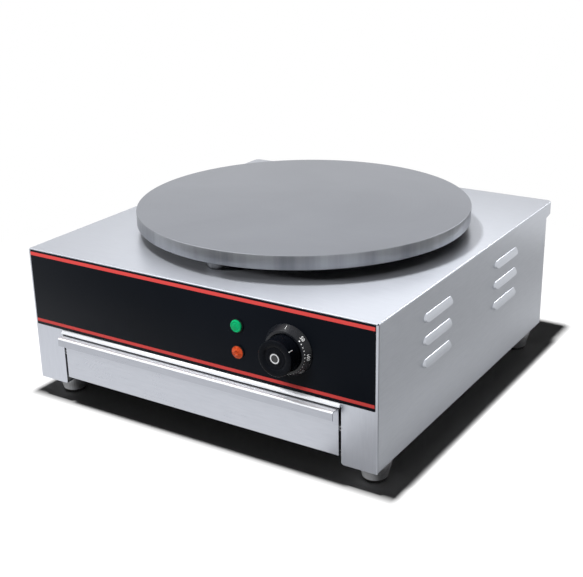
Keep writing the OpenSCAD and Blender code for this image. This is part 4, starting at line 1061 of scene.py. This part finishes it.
# %% Feet
foot_x, foot_front, foot_back = 208, -188, 196
foot_places = [(x, y, 0) for x in (-foot_x, foot_x) for y in (foot_front, foot_back)]
cup = turned("foot_cup", [(0, 3), (12.6, 3), (13.3, 3.4), (13.6, 4.2), (18.3, 22.6), (18.5, 23.6),
                          (18.4, 24.6), (18.0, 25), (0, 25)])
pad = turned("foot_pad", [(0, 0), (11.6, 0), (12.4, 0.5), (12.7, 1.2), (12.7, 3), (0, 3)], 48)
stand_copies(foot_places, (cup, "housing", "foot_metal", "foot_metal", "foot_cups"),
             (pad, "housing", "rubber", "foot_rubber", "foot_pads"))

# %% [markdown]
# ## The thermostat's dial
# The dial is a fixed cone-shaped ring with printed numbers. The knob turns inside it.

# %% Dial ring
knob_x, knob_z = 127.0, 139.5
knob_place = (knob_x, front, knob_z)
dial = turned("dial_cone", [(6, 0.8), (27.7, 0.8), (28, 1.1), (28, 1.7), (27.8, 2.1), (23.5, 9.3), (23.2, 9.8),
                            (22.8, 10), (20.6, 10), (20.2, 9.6), (20.2, 2.8), (6, 2.8), (6, 0.8)], 128)
show(stand(dial, *knob_place, TO_FRONT), "housing", "dial_plastic", "dial_plastic", "dial_ring")

# %% [markdown]
# The print on the dial is flat text. Text and flat shapes are made a mesh, laid on the cone by a
# matrix whose axes are the reading direction, the way up the slope and the slope's normal, then
# pressed onto the ring by a Shrinkwrap and given the thickness of a layer of ink.

# %% Print on the dial
slope = Vector((27.8 - 23.5, 2.1 - 9.3)).normalized()      # outwards and down the cone, as (radius, depth)
slope_radius, slope_depth = 25.65, 5.7                     # the middle of the slope


def on_cone(piece, degrees, step):
    """Lays a flat piece on the cone at an angle clockwise from the top, `step` mm down the slope."""
    theta = math.radians(degrees)
    outward = Vector((math.sin(theta), 0, math.cos(theta)))
    right = Vector((math.cos(theta), 0, -math.sin(theta)))
    ahead = Vector((0, -1, 0))
    up = slope.x * outward + slope.y * ahead
    normal = right.cross(up)
    radius, depth = slope_radius + step * slope.x, slope_depth + step * slope.y
    place = Vector(knob_place) + radius * outward + depth * ahead + 0.2 * normal
    piece.matrix_world = Matrix.Translation(place * mm) @ Matrix((right, up, normal)).transposed().to_4x4()
    settle(piece)
    finish_with(piece, "SHRINKWRAP", target=dial, wrap_method="NEAREST_SURFACEPOINT",
                wrap_mode="ABOVE_SURFACE", offset=0.05 * mm)
    finish_with(piece, "SOLIDIFY", thickness=0.04 * mm, offset=1)
    return piece


def number_print(text):
    """A number 3.8 mm high; its strokes are fattened a little, as printing ink spreads."""
    drop_selection()
    bpy.ops.object.text_add()
    made = bpy.context.object
    made.data.body = text
    made.data.size = 3.8 * 1.38 * mm
    made.data.align_x, made.data.align_y = "CENTER", "CENTER"
    made.data.resolution_u = 3
    made.data.offset = 0.10 * mm
    only(made)
    bpy.ops.object.convert(target="MESH")
    return bpy.context.object


def mark_print(width, length):
    """A small printed bar; subdivided, so that it can follow the cone."""
    drop_selection()
    bpy.ops.mesh.primitive_plane_add(size=1)
    made = bpy.context.object
    made.scale = (width * mm, length * mm, 1)
    settle(made)
    choose(made, lambda item: True)
    bpy.ops.mesh.subdivide(number_cuts=3)
    return made


prints = [on_cone(mark_print(0.35, 4.4), 0, 0.2)]
first_degrees, step_degrees, numbers = 48, 44.4, ("50", "100", "150", "200", "250", "300")
for index, text in enumerate(numbers):
    at = first_degrees + index * step_degrees
    prints.append(on_cone(number_print(text), at, 0.3))
    prints.append(on_cone(mark_print(1.5, 1.3), at, -3.7))
    if text != numbers[-1]:
        prints += [on_cone(mark_print(1.1, 1.0), at + step_degrees * part / 5, -3.7) for part in range(1, 5)]
show(join("dial_print", *prints), "housing", "white_print", "dial_plastic")

# %% [markdown]
# ## The knob
# A hollow grip with fine ribs, a dished face with two shallow grooves, a white pointer let into its
# edge and a small disc in the middle. The outlines are spun about the shaft. The ribs come from
# every second point of the wall, drawn inwards, and the disc's bright ring from its material.

# %% Grip
grip_r, rib_waist = 19.5, 0.982     # the wall's radius, and how far a rib's edge is drawn in
grip = turned("grip_shell", [
    (0, 26.5), (7.2, 26.5), (7.5, 26.2), (8.2, 26.2), (8.5, 26.5), (10.8, 26.5), (11.1, 26.2), (11.6, 26.2),
    (12, 26.5), (13.2, 27.6), (14, 28), (18, 28), (18.8, 27.8), (19.3, 27.3), (grip_r, 26.4), (grip_r, 24.5),
    (grip_r, 5.5), (grip_r, 4), (19.2, 3.4), (17.2, 3.4), (17, 3.8), (17, 23), (6, 23), (6, 3.9), (3.3, 3.9),
    (3.3, 22.9), (0, 22.9)], 120)


def rib(vertex):
    """Every second point on the wall of the grip."""
    x, y, z = vertex.co / mm
    on_wall = abs(math.hypot(x, y) - grip_r) < 0.1 and 5 < z < 25
    return on_wall and round(math.degrees(math.atan2(y, x)) / 3) % 2 == 0


ribs = choose(grip, rib, kind="VERT")
squeeze(x=rib_waist, y=rib_waist)
show(stand(grip, *knob_place, TO_FRONT), "knob", "knob_plastic", "knob_plastic", "knob_grip")
print("rib points moved:", ribs)

pointer = block("pointer_inlay", (-0.38, 18.6, 20.2), (0.38, 19.8, 26.8))
pointer.rotation_euler = (0, 0, math.radians(-58))
settle(pointer)
stand(pointer, *knob_place, TO_FRONT)
soften_edges(pointer, 0.15)
show(pointer, "knob", "pointer_white", "pointer_white", "knob_pointer")


# %% Disc on the grip
def disc_finish():
    """Satin metal at the rim, dark lacquer inside: the radius from the shaft decides."""
    made, tree = new_material("knob_disc")
    vector = place_vector(tree, (TO_FRONT, 0, 0), knob_place)
    radius = axis_distance(tree, vector)
    inner = between(tree, radius, 0, 1, 4.0 * mm, 4.15 * mm)
    outer = between(tree, radius, 1, 0, 5.15 * mm, 5.3 * mm)
    rim = calc(tree, "MULTIPLY", inner, outer)
    rings = effect(tree, TURNING, vector, 2500.0)
    metal = shade(tree, rings, (0.55, 0.56, 0.58), (0.75, 0.76, 0.78))
    return surface(made, {"Base Color": shade(tree, rim, (0.012, 0.012, 0.014), metal),
                          "Roughness": between(tree, rings, 0.25, 0.4), "Metallic": between(tree, rim, 0, 0.7)})


disc = turned("grip_disc", [(0, 26.9), (3.9, 26.9), (4.1, 27.2), (5.2, 27.3), (5.4, 27.2), (5.9, 27.1), (6, 26.9),
                            (6, 26.5), (0, 26.5)])
show(stand(disc, *knob_place, TO_FRONT), "knob", disc_finish(), "cap_metal", "knob_cap")

# %% [markdown]
# ## Indicator lamps
# Two plastic lenses shine through the front: a smooth green one and an amber one with facets, which
# spread the light of the small neon lamp behind them. The smooth one is spun. The facets are an
# eight-sided cone on a spun ring, left flat-shaded. A black bezel around each belongs to the
# material: the distance from the lens's own axis decides.

# %% Lamps in the front
lamp_x = 64.5
power_z, heating_z = top - 35, top - 64.6


def lens_finish(name, deep, bright, height):
    """Coloured clear plastic, lighter in some places than in others, with a black bezel around it."""
    made, tree = new_material(name)
    cloud = effect(tree, MOTTLE, place_vector(tree), 260.0)
    colour = shade(tree, between(tree, cloud, 0, 1, 0.3, 0.7), deep, bright)
    radius = axis_distance(tree, place_vector(tree, (TO_FRONT, 0, 0), (lamp_x, front, height)))
    bezel = between(tree, radius, 0, 1, 6.75 * mm, 7.05 * mm)
    return surface(made, {"Base Color": shade(tree, bezel, colour, (0.006, 0.008, 0.008)),
                          "Roughness": between(tree, cloud, 0.16, 0.26)}, specular=0.08)


green = turned("power_lens", [
    (0, 0.8), (7.6, 0.8), (7.8, 1.0), (7.8, 2.0), (7.5, 2.3), (7.0, 2.5), (6.7, 3.9), (6.3, 4.4), (5.6, 4.6),
    (4.7, 4.6), (4.5, 4.45), (4.2, 4.45), (4.0, 4.6), (2, 4.75), (0, 4.8)])
stand(green, lamp_x, front, power_z, TO_FRONT)
show(green, "housing", lens_finish("green_lens", (0.001, 0.30, 0.10), (0.002, 0.46, 0.17), power_z),
     "green_lens", "power_lamp_lens")

amber_ring = turned("heating_lens", [(0, 0.8), (7.6, 0.8), (7.8, 1.0), (7.8, 2.0), (7.4, 2.4), (6.9, 2.5),
                                     (6.8, 3.0), (0, 3.0)])
drop_selection()
bpy.ops.mesh.primitive_cone_add(vertices=8, radius1=6.8 * mm, radius2=2.6 * mm, depth=1.9 * mm,
                                location=(0, 0, 3.85 * mm))
facets = bpy.context.object
settle(facets)
choose(facets, lies(z=4.8))
bpy.ops.mesh.inset(thickness=1.1 * mm, depth=-0.7 * mm)
amber = join("heating_lens", amber_ring, facets)
stand(amber, lamp_x, front, heating_z, TO_FRONT)
show(amber, "housing", lens_finish("amber_lens", (0.36, 0.028, 0.005), (0.66, 0.10, 0.03), heating_z),
     "amber_lens", "heat_lamp_lens")

# %% [markdown]
# ## Screws at the back
# The rear panel is held by six pan-head screws with a cross recess. The head is spun, two thin
# bars cut the cross, and the screw is copied six times.

# %% Rear screws
screw = turned("panel_screw", [(0, -8), (1.5, -8), (1.9, -7.4), (1.9, 0), (3.5, 0), (3.6, 0.4), (3.3, 1.2),
                               (2.4, 1.8), (1.2, 2.0), (0, 2.0)], 32)
for long_x, long_y in ((1.9, 0.35), (0.35, 1.9)):
    cut(screw, block("cross_cutter", (-long_x, -long_y, 0.7), (long_x, long_y, 3)))
shade_by_angle(screw, 40)
screw_x, screw_heights = 219.8, (45, 107, 165.5)
stand_copies([(x, back, z) for x in (-screw_x, screw_x) for z in screw_heights],
             (screw, "housing", "zinc", "zinc_steel", "rear_screws"), tilt=TO_BACK)

# %% [markdown]
# ## Finishes for the CAD nodes that stay
# The inside is CAD as it is: walls, runners, elements, wires. Each node only gets the finish of its
# material slot in the record. Most slots have a finish of the same name.

# %% Materials of the remaining nodes
slot_finish = {
    "stainless_sheet": "steel_long", "zinc_steel": "zinc", "foot_rubber": "rubber", "post_steel": "post_metal",
    "element_sheath": "sheath", "mineral_wool": "wool", "switch_plastic": "cream_plastic",
    "terminal_ceramic": "ceramic", "hotplate_iron": "hotplate", "cap_metal": "zinc"}
kept = 0
for part in frame["record"]["subparts"]:
    node = nodes[part["node"]]
    if not node.hide_render:
        node.data.materials.clear()
        slot = part["material_slot"]
        node.data.materials.append(finish[slot_finish.get(slot, slot)])
        kept += 1
print("CAD nodes that stay:", kept)

# %% [markdown]
# ## Which lamp lights which piece
# The front lamp lights the front and what sits on it, the accent and gap lamps only the wrapper,
# and the low lamp only the feet. The knob throws no shadow on the floor, where it would leave a
# lone spot beside the drawer's.

# %% Light linking
def named(*names):
    """The objects of these names."""
    return [bpy.data.objects[name] for name in names]


fill.light_linking.receiver_collection = lamp_reach("lit_by_the_front_lamp", named(
    "control_film", "drawer_face", "front_sheet", "drip_edge", "dial_cone", "dial_print", "grip_shell",
    "grip_disc", "pointer_inlay", "power_lens", "heating_lens", "foot_cup_1", "foot_cup_3"))
low_light.light_linking.receiver_collection = lamp_reach("lit_by_the_low_lamp", named(
    "foot_cup_1", "foot_cup_2", "foot_cup_3", "foot_cup_4"))
floor_light.light_linking.blocker_collection = lamp_reach("throws_no_shadow_on_the_floor", named(
    "grip_shell", "grip_disc", "dial_cone", "pointer_inlay"), leave_out=True)
sheet_only = lamp_reach("lit_by_the_accent_and_gap_lamps", [wrapper])
for lamp in (accent, gap_light):
    lamp.light_linking.receiver_collection = sheet_only
